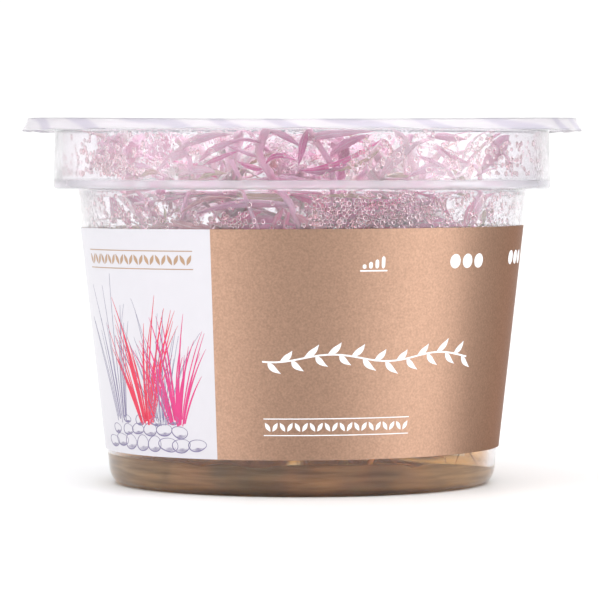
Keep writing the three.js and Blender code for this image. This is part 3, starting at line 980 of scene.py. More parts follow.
class TUB_OT_gel(bpy.types.Operator):
    """Nutrient gel: a disc that fills the tub's floor, with a meniscus at the wall and a slightly uneven top"""

    bl_idname = "plant_tub.gel"
    bl_label = "Gel"

    def execute(self, context):
        rim = GEL_TOP + MENISCUS
        edge = inside_radius(rim) - GEL_GAP
        profile = [
            *floor_channel(GEL_GAP)[::-1],
            *[(inside_radius(z) - GEL_GAP, z) for z in (FLOOR_TOP + 1.5, 5.0, rim)],
            (edge - 0.5, rim - 0.3),
            (edge - 1.6, GEL_TOP),
            *[(edge * share, GEL_TOP) for share in (0.8, 0.6, 0.4, 0.2, 0.0)],
        ]
        points, quads, triangles = revolve(rounded(profile, 0.5), GEL_COLUMNS)
        angle, reach = compass(points)
        x, y, z = points.T
        free = (z > GEL_TOP - 0.05) & (reach < edge - 0.6)
        touch = (reach > inside_radius(z) - 0.2) | (z < FLOOR_TOP + 0.3)
        ripple = 0.09 * np.sin(x * 0.31 + 1) * np.cos(y * 0.27) + 0.05 * np.sin(x * 0.9)
        z = z + np.where(free, ripple, 0)
        climb = np.clip((z - 3.3) / (rim - 3.3), 0, 1) * (reach / edge) ** 3
        level = z + climb * (wet_line(angle) - rim)
        slide = (inside_radius(level) - inside_radius(z)) / reach.clip(1)
        points[:, :2] *= (1 + slide * (reach > 30))[:, None]
        points[:, 2] = level
        # Painted side light: a share that rises from 24 to 60 degrees off the front and makes the gel's sides
        # paler
        painted_side_light = 0.9 * np.clip((np.abs(angle) - 24) / 36, 0, 1)
        finish = self.amber(context.scene.tub_settings.gel)
        gel = put_mesh("gel_disc", (points, quads, triangles), [finish], values={"touch": touch, "painted_side_light": painted_side_light})
        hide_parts("gel")
        return {"FINISHED"}

    def amber(self, soaked):
        """Amber jelly: brown patches and level streaks where it touches the tub. Painted light: it is paler and
        more orange towards its sides, away from the front, and its free top is a bright, less clear amber, a
        painted glint.
        """
        gel = Finish("Amber gel with painted light", Transmission_Weight=1.0, IOR=GEL_IOR)
        touch, painted_side_light = gel.point_value("touch"), gel.point_value("painted_side_light")
        clear, bend = gel.spread(touch, 0.0, 1.0, 0.35, 0.54), gel.spread(touch, 0.0, 1.0, GEL_IOR, 1.02)
        browns = (0.34, (0.46, 0.33, 0.19)), (0.52, (0.6, 0.35, 0.2)), (0.68, (0.86, 0.5, 0.24))
        patches = gel.ramp(gel.noise(48.0, stretch=(1, 1, 2)), *browns)
        streaks = gel.ramp(gel.noise(80.0, 4.0, (1, 1, 14)), (0.36, (0.62, 0.6, 0.6)), (0.6, WHITE))
        # Painted side light turns the brown patches a pale orange
        side = gel.blend(1.0, gel.blend(painted_side_light, patches, (0.98, 0.68, 0.36)), streaks, "MULTIPLY")
        # Painted glint: the free top is a bright amber and less clear than where the gel touches the tub
        top = gel.ramp(gel.noise(90.0), (0.3, (0.95, 0.5, 0.14)), (0.7, (0.98, 0.66, 0.3)))
        gloss = gel.spread(gel.noise(200.0), 0.3, 0.7, 0.05, 0.12)
        gel.set(Transmission_Weight=clear, IOR=bend, Base_Color=gel.blend(touch, top, side), Roughness=gloss)
        soak = gel.add("VolumeAbsorption", {"Color": soaked, "Density": 30.0}).outputs["Volume"]
        gel.feed(gel.tree.nodes["Material Output"].inputs["Volume"], soak)
        return gel


def leaf_material(settings):
    """Leaf: pale to deep pink by each leaf's own shade, paler midrib, darker edges, brown and green in some."""
    leaf = Finish("Pink leaf", Roughness=0.42, Transmission_Weight=0.12, Subsurface_Weight=1.0)
    leaf.set(Subsurface_Scale=0.0014, Subsurface_Radius=FLESH)
    own = leaf.ramp(
        leaf.point_value("shade"),
        (0.0, (0.95, 0.87, 0.83)),
        (0.15, settings.leaf_light),
        (0.35, (0.97, 0.63, 0.71)),
        (0.55, (0.94, 0.42, 0.6)),
        (0.7, (0.7, 0.27, 0.46)),
        (0.82, settings.leaf_deep),
        (0.93, (0.62, 0.42, 0.34)),
        (1.0, (0.46, 0.42, 0.2)),
    )
    uv = leaf.add("SeparateXYZ", {"Vector": leaf.add("UVMap", uv_map="UVMap").outputs["UV"]}).outputs
    edge = (0.86, 0.5, 0.66)
    rib = leaf.ramp(uv["X"], (0.44, BLACK), (0.5, WHITE), (0.56, BLACK))
    edged = leaf.ramp(uv["X"], (0.02, edge), (0.16, WHITE), (0.84, WHITE), (0.98, edge))
    body = leaf.blend(rib, leaf.blend(1.0, own, edged, "MULTIPLY"), (0.96, 0.82, 0.88))
    along = leaf.ramp(uv["Y"], (0.0, (0.92, 0.86, 0.82)), (0.5, WHITE), (1.0, (1.0, 0.84, 0.9)))
    mottle = leaf.ramp(leaf.noise(700.0, 4.0), (0.3, (0.8, 0.78, 0.8)), (0.7, (0.97, 0.97, 0.97)))
    toned = leaf.blend(1.0, body, along, "MULTIPLY")
    leaf.set(Base_Color=leaf.blend(1.0, toned, mottle, "MULTIPLY"))
    leaf.bump(leaf.noise(1500.0, 2.0), 0.2, 0.00005)
    return [leaf]


def stem_material(settings):
    """Stem: pink with darker and greener streaks along its length, green at its foot."""
    stem = Finish("Pink stem", Roughness=0.42, Subsurface_Weight=1.0, Subsurface_Scale=0.0015)
    base = settings.stem
    streak = stem.noise(300.0, stretch=(1, 1, 0.15))
    tint = stem.ramp(streak, (0.3, [c * 0.85 for c in base]), (0.5, base), (0.72, (0.78, 0.66, 0.56)))
    z = stem.add("SeparateXYZ", {"Vector": stem.place()}).outputs["Z"]
    foot = stem.ramp(stem.spread(z, 0.006, 0.026, 0.0, 1.0), (0.0, (0.9, 1.0, 0.42)), (1.0, WHITE))
    stem.set(Base_Color=stem.blend(1.0, tint, foot, "MULTIPLY"), Subsurface_Radius=FLESH)
    stem.bump(streak, 0.25, 0.0001)
    return [stem]


class LeafBatch:
    """Collects leaves as path, level, half width, fold and shade, and turns them into one mesh."""

    def __init__(self):
        self.rows = []

    def add(self, control, angle, wide, seed, lean=0.0, clamp=False, palest=0.0):
        """A leaf along its curve, level across but for its lean. Its fold and shade come from its seed."""
        path = bezier(control, LEAF_T)
        if clamp:
            path = keep_inside(path, 0.55)
        level = polar(angle + 90, 1.0, 0.0) + np.array([0.0, 0.0, lean])
        pale = mix(palest, 0.55, chance(seed + 23) ** 1.5)
        shade = pale if chance(seed + 29) > 0.14 else mix(0.66, 1.0, chance(seed + 31))
        self.rows.append((path, level, wide, mix(0.05, 0.4, chance(seed + 11)), shade))

    def put(self, name, finishes):
        """The leaves as one mesh object, with a UV across and along each and its shade at its points."""
        surface, uv, shade = blades(*(np.array(part) for part in zip(*self.rows)))
        piece = put_mesh(name, surface, finishes, uv=uv, values={"shade": shade}, sharp=55)
        return piece


class TUB_OT_shoots(bpy.types.Operator):
    """Shoots: each stem with its small leaves, and the large leaves in the frame's own places"""

    bl_idname = "plant_tub.shoots"
    bl_label = "Stems and leaves"

    def execute(self, context):
        settings = context.scene.plant_settings
        leaf, stem = leaf_material(settings), stem_material(settings)
        t = np.linspace(0, 1, 40)
        knots = 1 + 0.16 * bell(t[:, None] - np.linspace(0.1, 0.95, 11), 0.012).sum(axis=1)
        for k, shoot in enumerate(grow_shoots()):
            number = f"{k + 1:02d}"
            path = bezier(shoot["control"], t)
            surface = tubes(path[None], (stem_radius(t) * knots * 0.95)[None], 10, (1, 0, 0))
            stalk = put_mesh(f"shoot_{number}_stem", surface, stem)
            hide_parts(f"stem_{number}")
            small, large = LeafBatch(), LeafBatch()
            for i, one in enumerate(shoot["leaves"]):
                control = one["control"].copy()
                if one["own"]:
                    nearest = path[np.argmin(np.linalg.norm(path - control[0], axis=1))]
                    control[0] = mix(control[0], nearest, 0.75)
                batch = large if one["own"] else small
                batch.add(control, one["angle"], one["wide"], k * 40 + i, palest=0.2)
            self.extra(shoot["control"], small, k, settings.extra_leaves)
            names = [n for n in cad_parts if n.startswith(f"leaf_{number}_")]
            blade = large.put(f"shoot_{number}_leaves", leaf)
            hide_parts(*names)
            small.put(f"shoot_{number}_small_leaves", leaf)
        return {"FINISHED"}

    def extra(self, control, batch, k, pairs):
        """Further pairs between the frame's own, each turned a quarter from the last."""
        for p in range(pairs):
            at = mix(0.3, 0.97, (p + 0.5 + 0.3 * (chance(k * 31 + p) - 0.5)) / pairs)
            for half in range(2):
                seed = 5000 + k * 61 + p * 7 + half
                angle = k * 53 + p * 97 + half * 180 + (chance(seed) - 0.5) * 50
                foot = bezier(control, at) + polar(angle, stem_radius(at) * 0.6, 0.0)
                long = mix(9, 19, chance(seed + 1)) * mix(0.75, 1.0, at)
                pitch, droop = mix(-15, 55, chance(seed + 2)), mix(10, 35, chance(seed + 3))
                curve = leaf_control(foot, angle, pitch, long, droop)
                batch.add(curve, angle, long * 0.062 + 0.15, seed, clamp=True)


class TUB_OT_young(bpy.types.Operator):
    """Young growth: thin side shoots that wander up between the stems, with small leaves in pairs"""

    bl_idname = "plant_tub.young"
    bl_label = "Young side shoots"

    def execute(self, context):
        settings = context.scene.plant_settings
        t = np.linspace(0, 1, 24)
        paths, batch = [], LeafBatch()
        for i in range(settings.side_shoots):
            start = bezier(stem_control(i % SHOOTS), mix(0.25, 0.8, chance(i + 700)))
            around = chance(i + 720) * 360
            end = polar(around, 45 * math.sqrt(chance(i + 740)), mix(52, 69, chance(i + 760)))
            first = start + np.array([0, 0, 8.0]) + polar(around, 4.0, 0.0)
            second = mix(start, end, 0.7) + polar(chance(i + 780) * 360, 7.0, 0.0) + np.array([0, 0, 5.0])
            path = keep_inside(bezier((start, first, second, end), t), 0.7)
            paths.append(path)
            for p in range(6):
                at = int(mix(5, 23, (p + 0.6 * chance(i * 9 + p)) / 5.6))
                for half in range(2):
                    seed = 9000 + i * 37 + p * 5 + half
                    angle = i * 77 + p * 95 + half * 180 + (chance(seed) - 0.5) * 60
                    long = mix(6, 15, chance(seed + 1))
                    pitch, droop = mix(-20, 60, chance(seed + 2)), mix(5, 35, chance(seed + 3))
                    curve = leaf_control(path[at], angle, pitch, long, droop)
                    batch.add(curve, angle, long * 0.07 + 0.12, seed, chance(seed + 4) - 0.5, True)
        radii = np.tile(mix(0.5, 0.3, t), (len(paths), 1))
        surface = tubes(np.array(paths), radii, 8, (0.6, 0.8, 0))
        stalks = put_mesh("side_shoot_stems", surface, stem_material(settings))
        batch.put("side_shoot_leaves", leaf_material(settings))
        return {"FINISHED"}


# Stems that lean on the inside of the front wall: depth behind the wall, thickness at both ends,
# and the points that the stem passes through, as distance to the right of the middle and height
FRONT_STEMS = (
    (1.9, 0.85, 0.62, ((-6.3, 69.0), (-7.4, 66.3), (-7.8, 63.9), (-6.3, 61.1), (-4.8, 58.7), (-3.2, 56.5),
        (-1.7, 53.7), (0.4, 48.0), (1.5, 42.0))),
    (2.6, 0.62, 0.5, ((1.3, 69.0), (1.8, 67.6), (3.6, 64.8), (5.2, 62.0), (5.6, 58.8), (5.0, 54.0),
        (3.0, 46.0))),
    (1.6, 0.45, 0.35, ((-12.9, 62.9), (-12.3, 61.5), (-11.3, 59.4), (-10.4, 56.0), (-8.0, 50.0), (-6.0, 44.0))),
    (2.0, 0.5, 0.4, ((-2.6, 54.7), (-5.9, 55.1), (-9.6, 55.2), (-12.4, 54.8), (-15.6, 53.2), (-17.4, 50.0))),
    (2.8, 0.6, 0.45, ((14.8, 66.0), (12.6, 63.6), (11.8, 61.0), (9.2, 58.6), (8.6, 54.0), (8.0, 46.0))),
    (2.2, 0.5, 0.4, ((25.2, 64.6), (28.0, 62.6), (32.4, 61.6), (33.4, 58.0), (31.0, 52.0), (28.0, 44.0))),
    (2.4, 0.55, 0.4, ((-23.0, 66.8), (-21.0, 64.2), (-20.4, 60.0), (-21.6, 55.0), (-22.4, 50.0),
        (-20.0, 43.0))),
    (3.2, 0.5, 0.4, ((20.0, 67.6), (18.9, 63.0), (19.8, 58.2), (22.4, 53.0), (22.0, 46.0))),
    (3.0, 0.5, 0.36, ((-33.0, 63.0), (-31.4, 59.8), (-29.0, 54.0), (-26.0, 48.0), (-23.0, 42.0))),
    (2.4, 0.55, 0.42, ((36.0, 58.0), (33.2, 54.5), (31.8, 50.0), (29.0, 44.0))),
    (1.4, 0.55, 0.5, ((15.0, 14.0), (13.4, 8.6), (12.4, 6.0), (11.7, 4.4), (11.0, 3.0))),
)
# Leaves there: depth, half width, shade, and the leaf's foot, bend and tip in the same measure
FRONT_LEAVES = (
    (1.4, 0.55, 0.28, (-7.8, 63.3), (-10.5, 64.6), (-14.4, 65.8)),
    (1.7, 0.75, 0.66, (-7.0, 61.2), (-9.6, 61.6), (-12.0, 62.8)),
    (1.5, 0.8, 0.64, (-6.6, 62.2), (-4.8, 64.9), (-0.8, 62.6)),
    (1.2, 0.5, 0.3, (-7.6, 66.0), (-10.0, 67.4), (-13.6, 66.2)),
    (2.2, 0.95, 0.3, (-6.3, 68.4), (-3.2, 67.6), (-0.2, 65.2)),
    (1.6, 1.05, 0.6, (0.9, 68.6), (-0.2, 66.0), (-0.7, 61.6)),
    (1.3, 0.75, 0.7, (-0.4, 61.0), (7.6, 61.0), (15.2, 67.3)),
    (1.7, 0.55, 0.95, (5.2, 60.8), (11.2, 61.4), (15.0, 65.6)),
    (1.6, 0.9, 0.5, (-0.6, 61.2), (3.4, 59.9), (8.4, 61.9)),
    (1.4, 1.35, 0.34, (28.4, 59.6), (23.8, 63.6), (19.0, 59.4)),
    (1.9, 0.85, 0.6, (31.4, 62.2), (27.5, 63.6), (24.3, 65.9)),
    (1.4, 0.3, 0.5, (32.0, 59.6), (34.0, 61.4), (36.8, 61.5)),
    (1.4, 1.2, 0.16, (-2.3, 54.3), (-11.6, 56.8), (-21.2, 52.4)),
    (1.1, 0.75, 0.72, (-13.0, 56.0), (-19.2, 57.4), (-23.8, 51.6)),
    (1.0, 1.15, 0.73, (-24.2, 51.8), (-20.6, 49.6), (-13.4, 50.4)),
    (1.2, 0.8, 0.73, (-17.5, 51.3), (-14.6, 50.2), (-10.2, 51.0)),
    (1.5, 0.95, 0.62, (-3.6, 54.2), (-4.8, 52.2), (-6.0, 49.4)),
    (1.3, 0.9, 0.58, (-2.4, 53.4), (-3.4, 51.4), (-3.4, 48.8)),
    (1.2, 1.0, 0.68, (-1.2, 53.0), (0.8, 51.4), (2.8, 49.2)),
    (1.7, 1.1, 0.73, (-0.8, 51.2), (1.6, 50.2), (5.0, 50.6)),
    (2.0, 1.4, 0.52, (-7.6, 53.4), (-11.4, 53.2), (-14.6, 50.2)),
    (1.8, 0.8, 0.93, (3.6, 56.3), (8.6, 57.0), (13.6, 55.6)),
    (2.2, 1.7, 0.42, (4.6, 50.0), (10.0, 55.2), (19.8, 55.4)),
    (2.6, 1.5, 0.3, (12.0, 50.4), (18.0, 54.0), (27.0, 56.0)),
    (2.4, 1.3, 0.05, (19.0, 50.0), (22.4, 54.0), (24.6, 57.6)),
    (1.5, 0.9, 0.6, (30.4, 50.0), (30.6, 53.6), (32.2, 55.4)),
    (1.8, 0.7, 0.97, (33.4, 50.4), (34.0, 52.4), (34.4, 54.2)),
    (1.6, 0.8, 0.6, (-31.8, 49.8), (-33.2, 52.8), (-35.0, 55.0)),
    (1.4, 0.75, 0.73, (-28.4, 50.2), (-25.4, 51.2), (-22.6, 50.6)),
    (1.8, 0.8, 0.96, (-25.8, 50.6), (-24.6, 52.6), (-25.8, 54.6)),
    (1.6, 1.3, 0.2, (-23.4, 64.4), (-18.8, 67.4), (-12.6, 67.6)),
    (2.0, 1.1, 0.3, (-18.8, 62.6), (-16.0, 65.6), (-10.2, 66.8)),
    (1.3, 0.7, 0.62, (-18.0, 62.0), (-14.4, 63.4), (-11.5, 64.6)),
    (2.2, 1.2, 0.14, (-22.8, 60.0), (-19.0, 62.0), (-15.4, 60.4)),
    (1.6, 0.9, 0.97, (-19.0, 59.4), (-16.8, 60.8), (-13.6, 60.4)),
    (2.4, 1.4, 0.18, (-27.0, 60.4), (-23.6, 64.6), (-18.8, 64.0)),
    (2.2, 1.2, 0.24, (0.0, 66.4), (5.4, 68.0), (13.8, 68.2)),
    (2.8, 1.1, 0.36, (4.8, 63.4), (8.2, 66.6), (13.0, 67.6)),
    (3.0, 1.5, 0.06, (14.6, 60.0), (17.6, 64.6), (22.0, 66.4)),
    (2.2, 0.8, 0.94, (20.0, 60.0), (17.6, 60.6), (15.2, 59.8)),
    (1.9, 0.8, 0.5, (21.0, 63.6), (25.0, 62.4), (28.6, 59.8)),
    (3.0, 1.2, 0.4, (30.0, 66.8), (26.8, 67.8), (22.6, 67.2)),
    (2.4, 1.0, 0.34, (-34.6, 60.2), (-31.2, 62.6), (-27.4, 61.4)),
    (2.4, 1.1, 0.5, (-36.6, 62.6), (-33.0, 60.4), (-29.2, 60.2)),
    (2.2, 1.0, 0.92, (-30.6, 59.8), (-28.4, 61.0), (-26.2, 60.4)),
    (3.4, 1.5, 0.4, (4.0, 57.0), (-2.0, 60.8), (-9.0, 59.0)),
    (3.6, 1.4, 0.56, (8.0, 52.0), (1.0, 57.0), (-4.0, 57.4)),
    (3.8, 1.5, 0.44, (-12.0, 57.0), (-18.0, 59.0), (-25.0, 56.8)),
    (3.6, 1.5, 0.36, (-26.0, 52.0), (-30.0, 56.0), (-34.0, 57.0)),
    (3.6, 1.4, 0.48, (28.0, 52.0), (25.0, 57.6), (19.0, 58.6)),
    (2.8, 2.5, 0.3, (2.0, 50.4), (12.0, 55.6), (23.0, 52.0)),
    (3.2, 2.4, 0.2, (25.0, 49.6), (16.0, 52.4), (6.0, 57.2)),
    (3.0, 2.3, 0.36, (8.0, 49.0), (20.0, 52.4), (31.0, 50.6)),
    (2.8, 2.2, 0.34, (-18.0, 49.4), (-9.0, 52.6), (1.0, 50.0)),
    (3.4, 2.0, 0.88, (-12.0, 56.8), (-6.0, 55.0), (-1.0, 56.6)),
    (5.0, 1.7, 0.2, (-41.0, 60.6), (-38.6, 65.6), (-33.0, 68.0)),
    (7.0, 1.9, 0.34, (-36.0, 61.0), (-37.6, 66.0), (-41.0, 68.4)),
    (6.0, 1.6, 0.28, (-33.0, 60.6), (-36.0, 62.4), (-41.0, 63.4)),
    (5.0, 1.7, 0.24, (41.0, 60.6), (39.0, 65.0), (34.0, 68.0)),
    (7.0, 1.9, 0.36, (34.0, 61.0), (37.0, 65.6), (41.0, 67.4)),
    (4.0, 1.4, 0.3, (-36.4, 51.0), (-35.4, 54.4), (-37.0, 56.4)),
    (4.0, 1.4, 0.22, (36.4, 50.6), (35.0, 54.0), (37.0, 56.4)),
    (1.6, 1.5, 1.0, (8.4, 6.2), (10.0, 4.8), (8.2, 3.6)),
    (1.6, 1.6, 0.98, (-28.0, 6.4), (-24.0, 4.6), (-25.0, 3.2)),
    (1.4, 1.2, 1.0, (-33.6, 6.0), (-31.6, 4.6), (-33.0, 3.6)),
)
# Roots against the front wall: depth, thickness, and their points in the same measure
FRONT_ROOTS = (
    (0.9, 0.13, ((28.6, 8.6), (29.4, 7.4), (29.0, 6.2), (28.5, 4.8))),
    (1.0, 0.17, ((29.6, 9.4), (31.2, 7.6), (32.2, 6.0), (33.2, 4.2))),
    (0.8, 0.11, ((36.0, 7.0), (34.8, 6.4), (33.6, 5.4), (32.8, 4.6))),
    (1.2, 0.12, ((25.0, 7.4), (26.6, 6.6), (27.0, 5.6), (29.4, 4.6))),
    (0.9, 0.15, ((-31.0, 8.0), (-29.8, 6.2), (-29.4, 4.6), (-29.8, 3.0))),
    (1.1, 0.13, ((-27.0, 6.8), (-29.6, 5.2), (-31.4, 4.0), (-33.6, 3.4))),
    (1.0, 0.14, ((-21.6, 6.6), (-19.4, 5.4), (-20.4, 4.2), (-18.4, 2.8))),
    (1.3, 0.15, ((0.8, 7.2), (1.6, 6.2), (4.4, 5.6), (6.0, 4.4))),
    (1.2, 0.14, ((16.0, 7.4), (17.2, 6.2), (20.0, 5.6), (22.0, 4.2))),
)


def behind_wall(points, depth):
    """Places points given as distance to the right and height at a depth behind the front wall.

    The free radius passes smoothly from the taper's to the collar's over the step, and y is minus the
    root of the radius squared less x squared.
    """
    x, z = points[..., 0], points[..., 1]
    step = np.clip((z - SHOULDER_TOP - 0.4) / 2.2, 0, 1)
    step = step * step * (3 - 2 * step)
    free = mix(wall_radius(np.minimum(z, SHOULDER_TOP)), COLLAR_HIGH, step) - WALL - depth
    return np.stack([x, -np.sqrt(np.maximum(free**2 - x**2, 0.25)), z], axis=-1)


def through(points, count):
    """A smooth path through points: stretches of cubics, each slope half the step across its point."""
    points = np.asarray(points, dtype=float)
    slope = np.gradient(points, axis=0)
    at = np.linspace(0, len(points) - 1, count)
    low = np.minimum(at.astype(int), len(points) - 2)
    t = (at - low)[:, None]
    ends = points[low] * (1 + 2 * t) * (1 - t) ** 2 + points[low + 1] * t * t * (3 - 2 * t)
    return ends + slope[low] * t * (1 - t) ** 2 + slope[low + 1] * t * t * (t - 1)


class TUB_OT_front(bpy.types.Operator):
    """Growth at the front: stems and broad pale leaves that lean on the inside of the wall"""

    bl_idname = "plant_tub.front"
    bl_label = "Growth at the front"

    def execute(self, context):
        settings = context.scene.plant_settings
        paths, radii, batch = [], [], LeafBatch()
        for depth, low, high, points in FRONT_STEMS:
            paths.append(behind_wall(through(points, 36), depth))
            radii.append(np.linspace(low, high, 36))
        for depth, wide, shade, *points in FRONT_LEAVES:
            path = behind_wall(bezier(np.array(points), LEAF_T), depth)
            out = unit(path[4] * (1, 1, 0))
            level = np.cross(unit(path[-1] - path[0]), out)
            level = level * np.sign(level[2]) - out * 0.7
            tone = mix(0.62 if path[4, 2] < SHOULDER_UNDER else 0.35, 1.0, shade)
            batch.rows.append((path, level, 0.84 * wide, 0.32, tone))
        surface = tubes(np.array(paths), np.array(radii), 10, (0.6, 0.8, 0))
        stalks = put_mesh("front_stems", surface, stem_material(settings))
        batch.put("front_leaves", leaf_material(settings))
        return {"FINISHED"}


class TUB_OT_roots(bpy.types.Operator):
    """Roots: fine brown threads that wander out from each foot, in the gel and over its surface"""

    bl_idname = "plant_tub.roots"
    bl_label = "Roots"

    def execute(self, context):
        t = np.linspace(0, 1, 22)
        paths = [self.thread(i, t) for i in range(ROOTS)]
        paths += [behind_wall(through(points, len(t)), depth) for depth, _, points in FRONT_ROOTS]
        thick = [0.22] * ROOTS + [wide for _, wide, _ in FRONT_ROOTS]
        radii = mix(1.0, 0.35, t)[None] * np.array(thick)[:, None]
        brown = Finish("Brown root", Roughness=0.6)
        brown.set(Base_Color=brown.shades(brown.noise(400.0), context.scene.plant_settings.root, 0.7, 1.6))
        roots = put_mesh("roots", tubes(np.array(paths), radii, 6, (0, 0, 1)), [brown])
        return {"FINISHED"}

    def thread(self, i, t):
        """One root: out from a foot and to and fro by a sine. Every third climbs over the gel first."""
        angle = i * GOLDEN_ANGLE * 1.7
        long = mix(9, 24, chance(i + 1200))
        over = 1.0 if i % 3 == 0 else 0.0
        start = stem_control(i % SHOOTS)[0] + np.array([0, 0, mix(0.3, 2.0, chance(i + 1210)) + over * 4.5])
        wander = np.sin(t * mix(4, 9, chance(i + 1220)) + i) * 1.4 * t
        path = start + t[:, None] * long * polar(angle, 1.0, 0.0) + wander[:, None] * polar(angle + 90, 1.0, 0.0)
        lift = over * (np.sin(np.pi * np.minimum(t * 1.3, 1)) * 2.2 - t * 4.0) + 0.35 * np.sin(t * 11 + i)
        path[:, 2] = np.maximum(path[:, 2] + lift, FLOOR_TOP + 0.6)
        free = (inside_radius(path[:, 2]) - 1.0) / np.maximum(compass(path)[1], 1e-6)
        path[:, :2] *= np.minimum(1, free)[:, None]
        return path


class TUB_OT_dew(bpy.types.Operator):
    """Condensation: small domes of water on the inside of the wall, thick in drifts and sparse between"""

    bl_idname = "plant_tub.dew"
    bl_label = "Condensation"

    def execute(self, context):
        rng = np.random.default_rng(41)
        water = self.water()
        for name, middle in (("dew_front", 0.0), ("dew_back", 180.0)):
            angle, z = self.lattice(rng, middle)
            keep = (rng.random(len(z)) < self.drift(angle, z)) & (np.abs(z - SHOULDER_TOP) > 1.1)
            angle, z = angle[keep], z[keep]
            size = FINE_DROP * mix(0.55, 1.15, rng.random(len(z)) ** 0.8)
            chosen = rng.permutation(len(z))[: context.scene.plant_settings.drops // 2]
            self.domes(rng, name, angle[chosen], z[chosen], size[chosen], FINE_DOME, water)
        tries = LARGE_DROPS * 4
        angle, z = rng.uniform(-180, 180, tries), rng.uniform(47, DEW_HIGH, tries)
        size = mix(0.34, 0.62, rng.random(tries) ** 2.4)
        keep = (rng.random(tries) < 0.12 + self.drift(angle, z)) & (np.abs(z - SHOULDER_TOP) > size + 0.9)
        angle, z, size = (part[keep][:LARGE_DROPS] for part in (angle, z, size))
        self.domes(rng, "dew_large", angle, z, size, LARGE_DOME, water)
        return {"FINISHED"}

    def lattice(self, rng, middle):
        """Staggered rows of places over half the wall, each shifted a little by chance."""
        rows, columns = int((DEW_HIGH - DEW_LOW) / ROW_STEP), int(HALF_ROUND / DROP_STEP)
        i, j = np.meshgrid(np.arange(rows), np.arange(columns), indexing="ij")
        z = DEW_LOW + (i + rng.uniform(-0.28, 0.28, i.shape)) * ROW_STEP
        along = (j + 0.5 * (i % 2) + rng.uniform(-0.28, 0.28, i.shape)) / columns
        return (middle - 90 + 180 * along.ravel() + 180) % 360 - 180, z.ravel()

    def drift(self, angle, z):
        """How thick the dew lies: a little everywhere, and a bell-shaped rise round each drift."""
        share = np.full(len(z), 0.02)
        for at, level, wide, tall, strength in DRIFTS:
            share += strength * bell((angle - at + 180) % 360 - 180, wide) * bell(z - level, tall)
        return np.minimum(share, 0.96)

    def domes(self, rng, name, angle, z, size, dome, water):
        """Flattened half balls on the wall: rings that shrink as they rise, a little taller than wide."""
        sides, rows, top = dome
        collar = mix(COLLAR_LOW, COLLAR_HIGH, (z - 58.2) / 10.8)
        radius = np.where(z > SHOULDER_TOP, collar, wall_radius(z)) - WALL
        middle = polar(angle, radius + 0.02, z)
        inward, across = -polar(angle, 1.0, 0.0), polar(angle + 90, 1.0, 0.0)
        turn = 2 * np.pi * np.arange(sides) / sides
        tall = rng.uniform(0.9, 1.3, len(z))[:, None, None]
        flat = np.cos(turn)[None, :, None] * across[:, None]
        flat = flat + np.sin(turn)[None, :, None] * tall * np.array([0.0, 0.0, 1.0])
        size = size[:, None, None]
        rings = [middle[:, None] + size * (share * flat + rise * inward[:, None]) for share, rise in rows]
        points, quads, triangles = skin(np.stack(rings, axis=1), middle, middle + size[:, 0] * top * inward)
        # Painted shade: each dome's rings get a share that is 1 at the rim and falls towards the top
        rim = np.append(np.repeat([share**6 for share, _ in rows], sides), (0.0, 0.0))
        surface = (points, quads[:, ::-1], triangles[:, ::-1])
        piece = put_mesh(name, surface, [water], values={"rim": np.tile(rim, len(z))})

    def water(self):
        """Clear water with painted light: a painted shade darkens each dome towards its steep rim, and a faint,
        uneven pink tint is a painted reflection of the leaves round it. Its gloss is a trace uneven.
        """
        water = Finish("Dew", IOR=WATER_IOR, Transmission_Weight=1.0)
        water.set(Roughness=water.spread(water.noise(300.0), 0.3, 0.7, 0.0, 0.015))
        # Painted reflection: a faint pink tint for the pink leaves seen through the drops
        tint = water.ramp(water.noise(80.0), (0.3, (0.99, 0.9, 0.92)), (0.7, (1.0, 0.97, 0.97)))
        # Painted shade: the colour turns dark brownish pink towards the rim
        water.set(Base_Color=water.blend(water.point_value("rim"), tint, (0.86, 0.62, 0.64)))
        return water


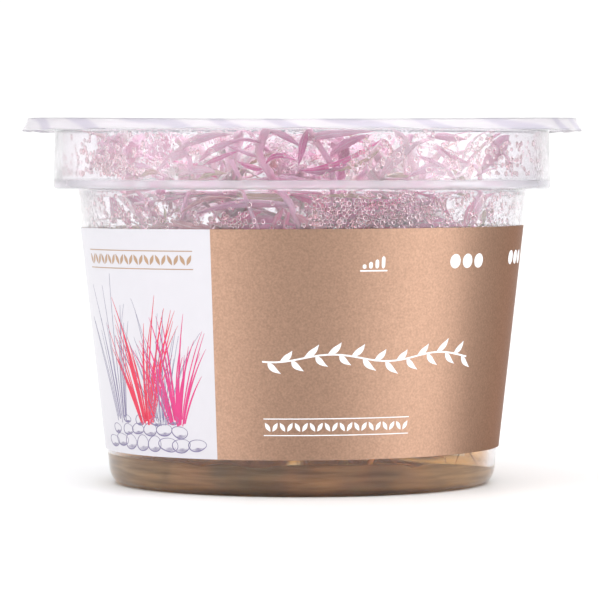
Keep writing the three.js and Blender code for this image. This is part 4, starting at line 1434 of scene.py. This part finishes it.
class TUB_OT_stage(bpy.types.Operator):
    """Stage: a pale floor, soft lamps above and in front, a bright room, and the camera at the photo's view"""

    bl_idname = "plant_tub.stage"
    bl_label = "Stage"

    def execute(self, context):
        scene = context.scene
        scene.view_settings.view_transform = "Standard"
        scene.cycles.max_bounces = 32
        scene.cycles.transmission_bounces = 32
        scene.cycles.glossy_bounces = 16
        mesh = bpy.data.meshes.new("floor")
        corners = [(-40.0, -40.0, 0.0), (40.0, -40.0, 0.0), (40.0, 40.0, 0.0), (-40.0, 40.0, 0.0)]
        mesh.from_pydata(corners, [], [(0, 1, 2, 3)])
        floor = bpy.data.objects.new("floor", mesh)
        scene.collection.objects.link(floor)
        pale = Finish("Pale floor", Roughness=0.6)
        pale.set(Base_Color=pale.ramp(pale.noise(3.0), (0.3, (0.93, 0.93, 0.935)), (0.7, (0.95, 0.95, 0.95))))
        mesh.materials.append(pale.material)
        self.lamp(scene, "lid light", 0.085, 0.04, (0.0, 0.0, 0.11), 0, 110)
        self.lamp(scene, "front fill", 0.4, 0.9, (0.0, -0.6, 0.42), 58, 180)
        self.world(scene)
        self.camera(scene)
        return {"FINISHED"}

    def lamp(self, scene, name, size, energy, place, tilt, spread):
        """A round soft panel. The one close above the lid is gridded, so it fills the tub and not the floor."""
        data = bpy.data.lights.new(name, "AREA")
        data.shape = "DISK"
        data.size = size
        data.spread = math.radians(spread)
        data.energy = energy
        lamp = bpy.data.objects.new(name, data)
        lamp.location = place
        lamp.rotation_euler = (math.radians(tilt), 0.0, 0.0)
        lamp.visible_camera = False
        lamp.visible_glossy = False
        scene.collection.objects.link(lamp)

    def world(self, scene):
        """The room: white behind the tub, bright low panels at the front quarters, even overhead."""
        world = bpy.data.worlds.new("Studio")
        world.use_nodes = True
        scene.world = world
        room = Nodes(world.node_tree)
        parts = room.add("SeparateXYZ", {"Vector": room.place("Generated")}).outputs
        turn = room.math("ARCTAN2", parts["X"], room.math("MULTIPLY", parts["Y"], -1.0))
        share = room.spread(turn, -math.pi, math.pi, 0.0, 1.0)
        stops = [((at + 180) / 360, (value / ROOM_STRENGTH,) * 3) for at, value in ROOM]
        high = room.ramp(parts["Z"], (0.45, BLACK), (0.8, WHITE))
        light = room.blend(high, room.ramp(share, *stops), (ROOM_ABOVE / ROOM_STRENGTH,) * 3)
        background = room.tree.nodes["Background"].inputs
        room.feed(background["Color"], light)
        room.feed(background["Strength"], ROOM_STRENGTH)

    def camera(self, scene):
        """The camera in front of the tub, a little above its middle and tilted down."""
        data = bpy.data.cameras.new("camera")
        data.sensor_width = 36.0
        data.lens = 219.0
        data.clip_start = 0.01
        camera = bpy.data.objects.new("camera", data)
        camera.location = (-0.00039, -0.716, 0.060)
        camera.rotation_euler = (math.radians(90 - 1.946), 0.0, 0.0)
        scene.collection.objects.link(camera)
        scene.camera = camera


class TUB_PT_panel(bpy.types.Panel):
    """Lists the pieces and their settings"""

    bl_label = "Plant tub"
    bl_idname = "TUB_PT_panel"
    bl_space_type = "VIEW_3D"
    bl_region_type = "UI"
    bl_category = "Plant tub"

    def draw(self, context):
        """A button for each operator, then a box for each group of settings."""
        layout = self.layout
        for one in OPERATORS:
            layout.operator(one.bl_idname, text=one.bl_label)
        for group in SETTINGS:
            box = layout.box()
            for key in SETTINGS[group].__annotations__:
                box.prop(getattr(context.scene, group), key)


OPERATORS = (
    TUB_OT_shell,
    TUB_OT_film,
    TUB_OT_label,
    TUB_OT_print,
    TUB_OT_gel,
    TUB_OT_shoots,
    TUB_OT_young,
    TUB_OT_front,
    TUB_OT_roots,
    TUB_OT_dew,
    TUB_OT_stage,
)
SETTINGS = {"tub_settings": TubSettings, "label_settings": LabelSettings, "plant_settings": PlantSettings}


def register():
    """Adds the classes, and the settings to the scene."""
    for one in (*SETTINGS.values(), *OPERATORS, TUB_PT_panel):
        bpy.utils.register_class(one)
    for name, group in SETTINGS.items():
        setattr(bpy.types.Scene, name, bpy.props.PointerProperty(type=group))


def unregister():
    """Takes the settings and the classes away again."""
    for name in SETTINGS:
        delattr(bpy.types.Scene, name)
    for one in (TUB_PT_panel, *reversed(OPERATORS), *SETTINGS.values()):
        bpy.utils.unregister_class(one)


def main():
    """Runs every operator in order."""
    register()
    for one in OPERATORS:
        group, name = one.bl_idname.split(".")
        getattr(getattr(bpy.ops, group), name)()


if __name__ == "__main__":
    main()
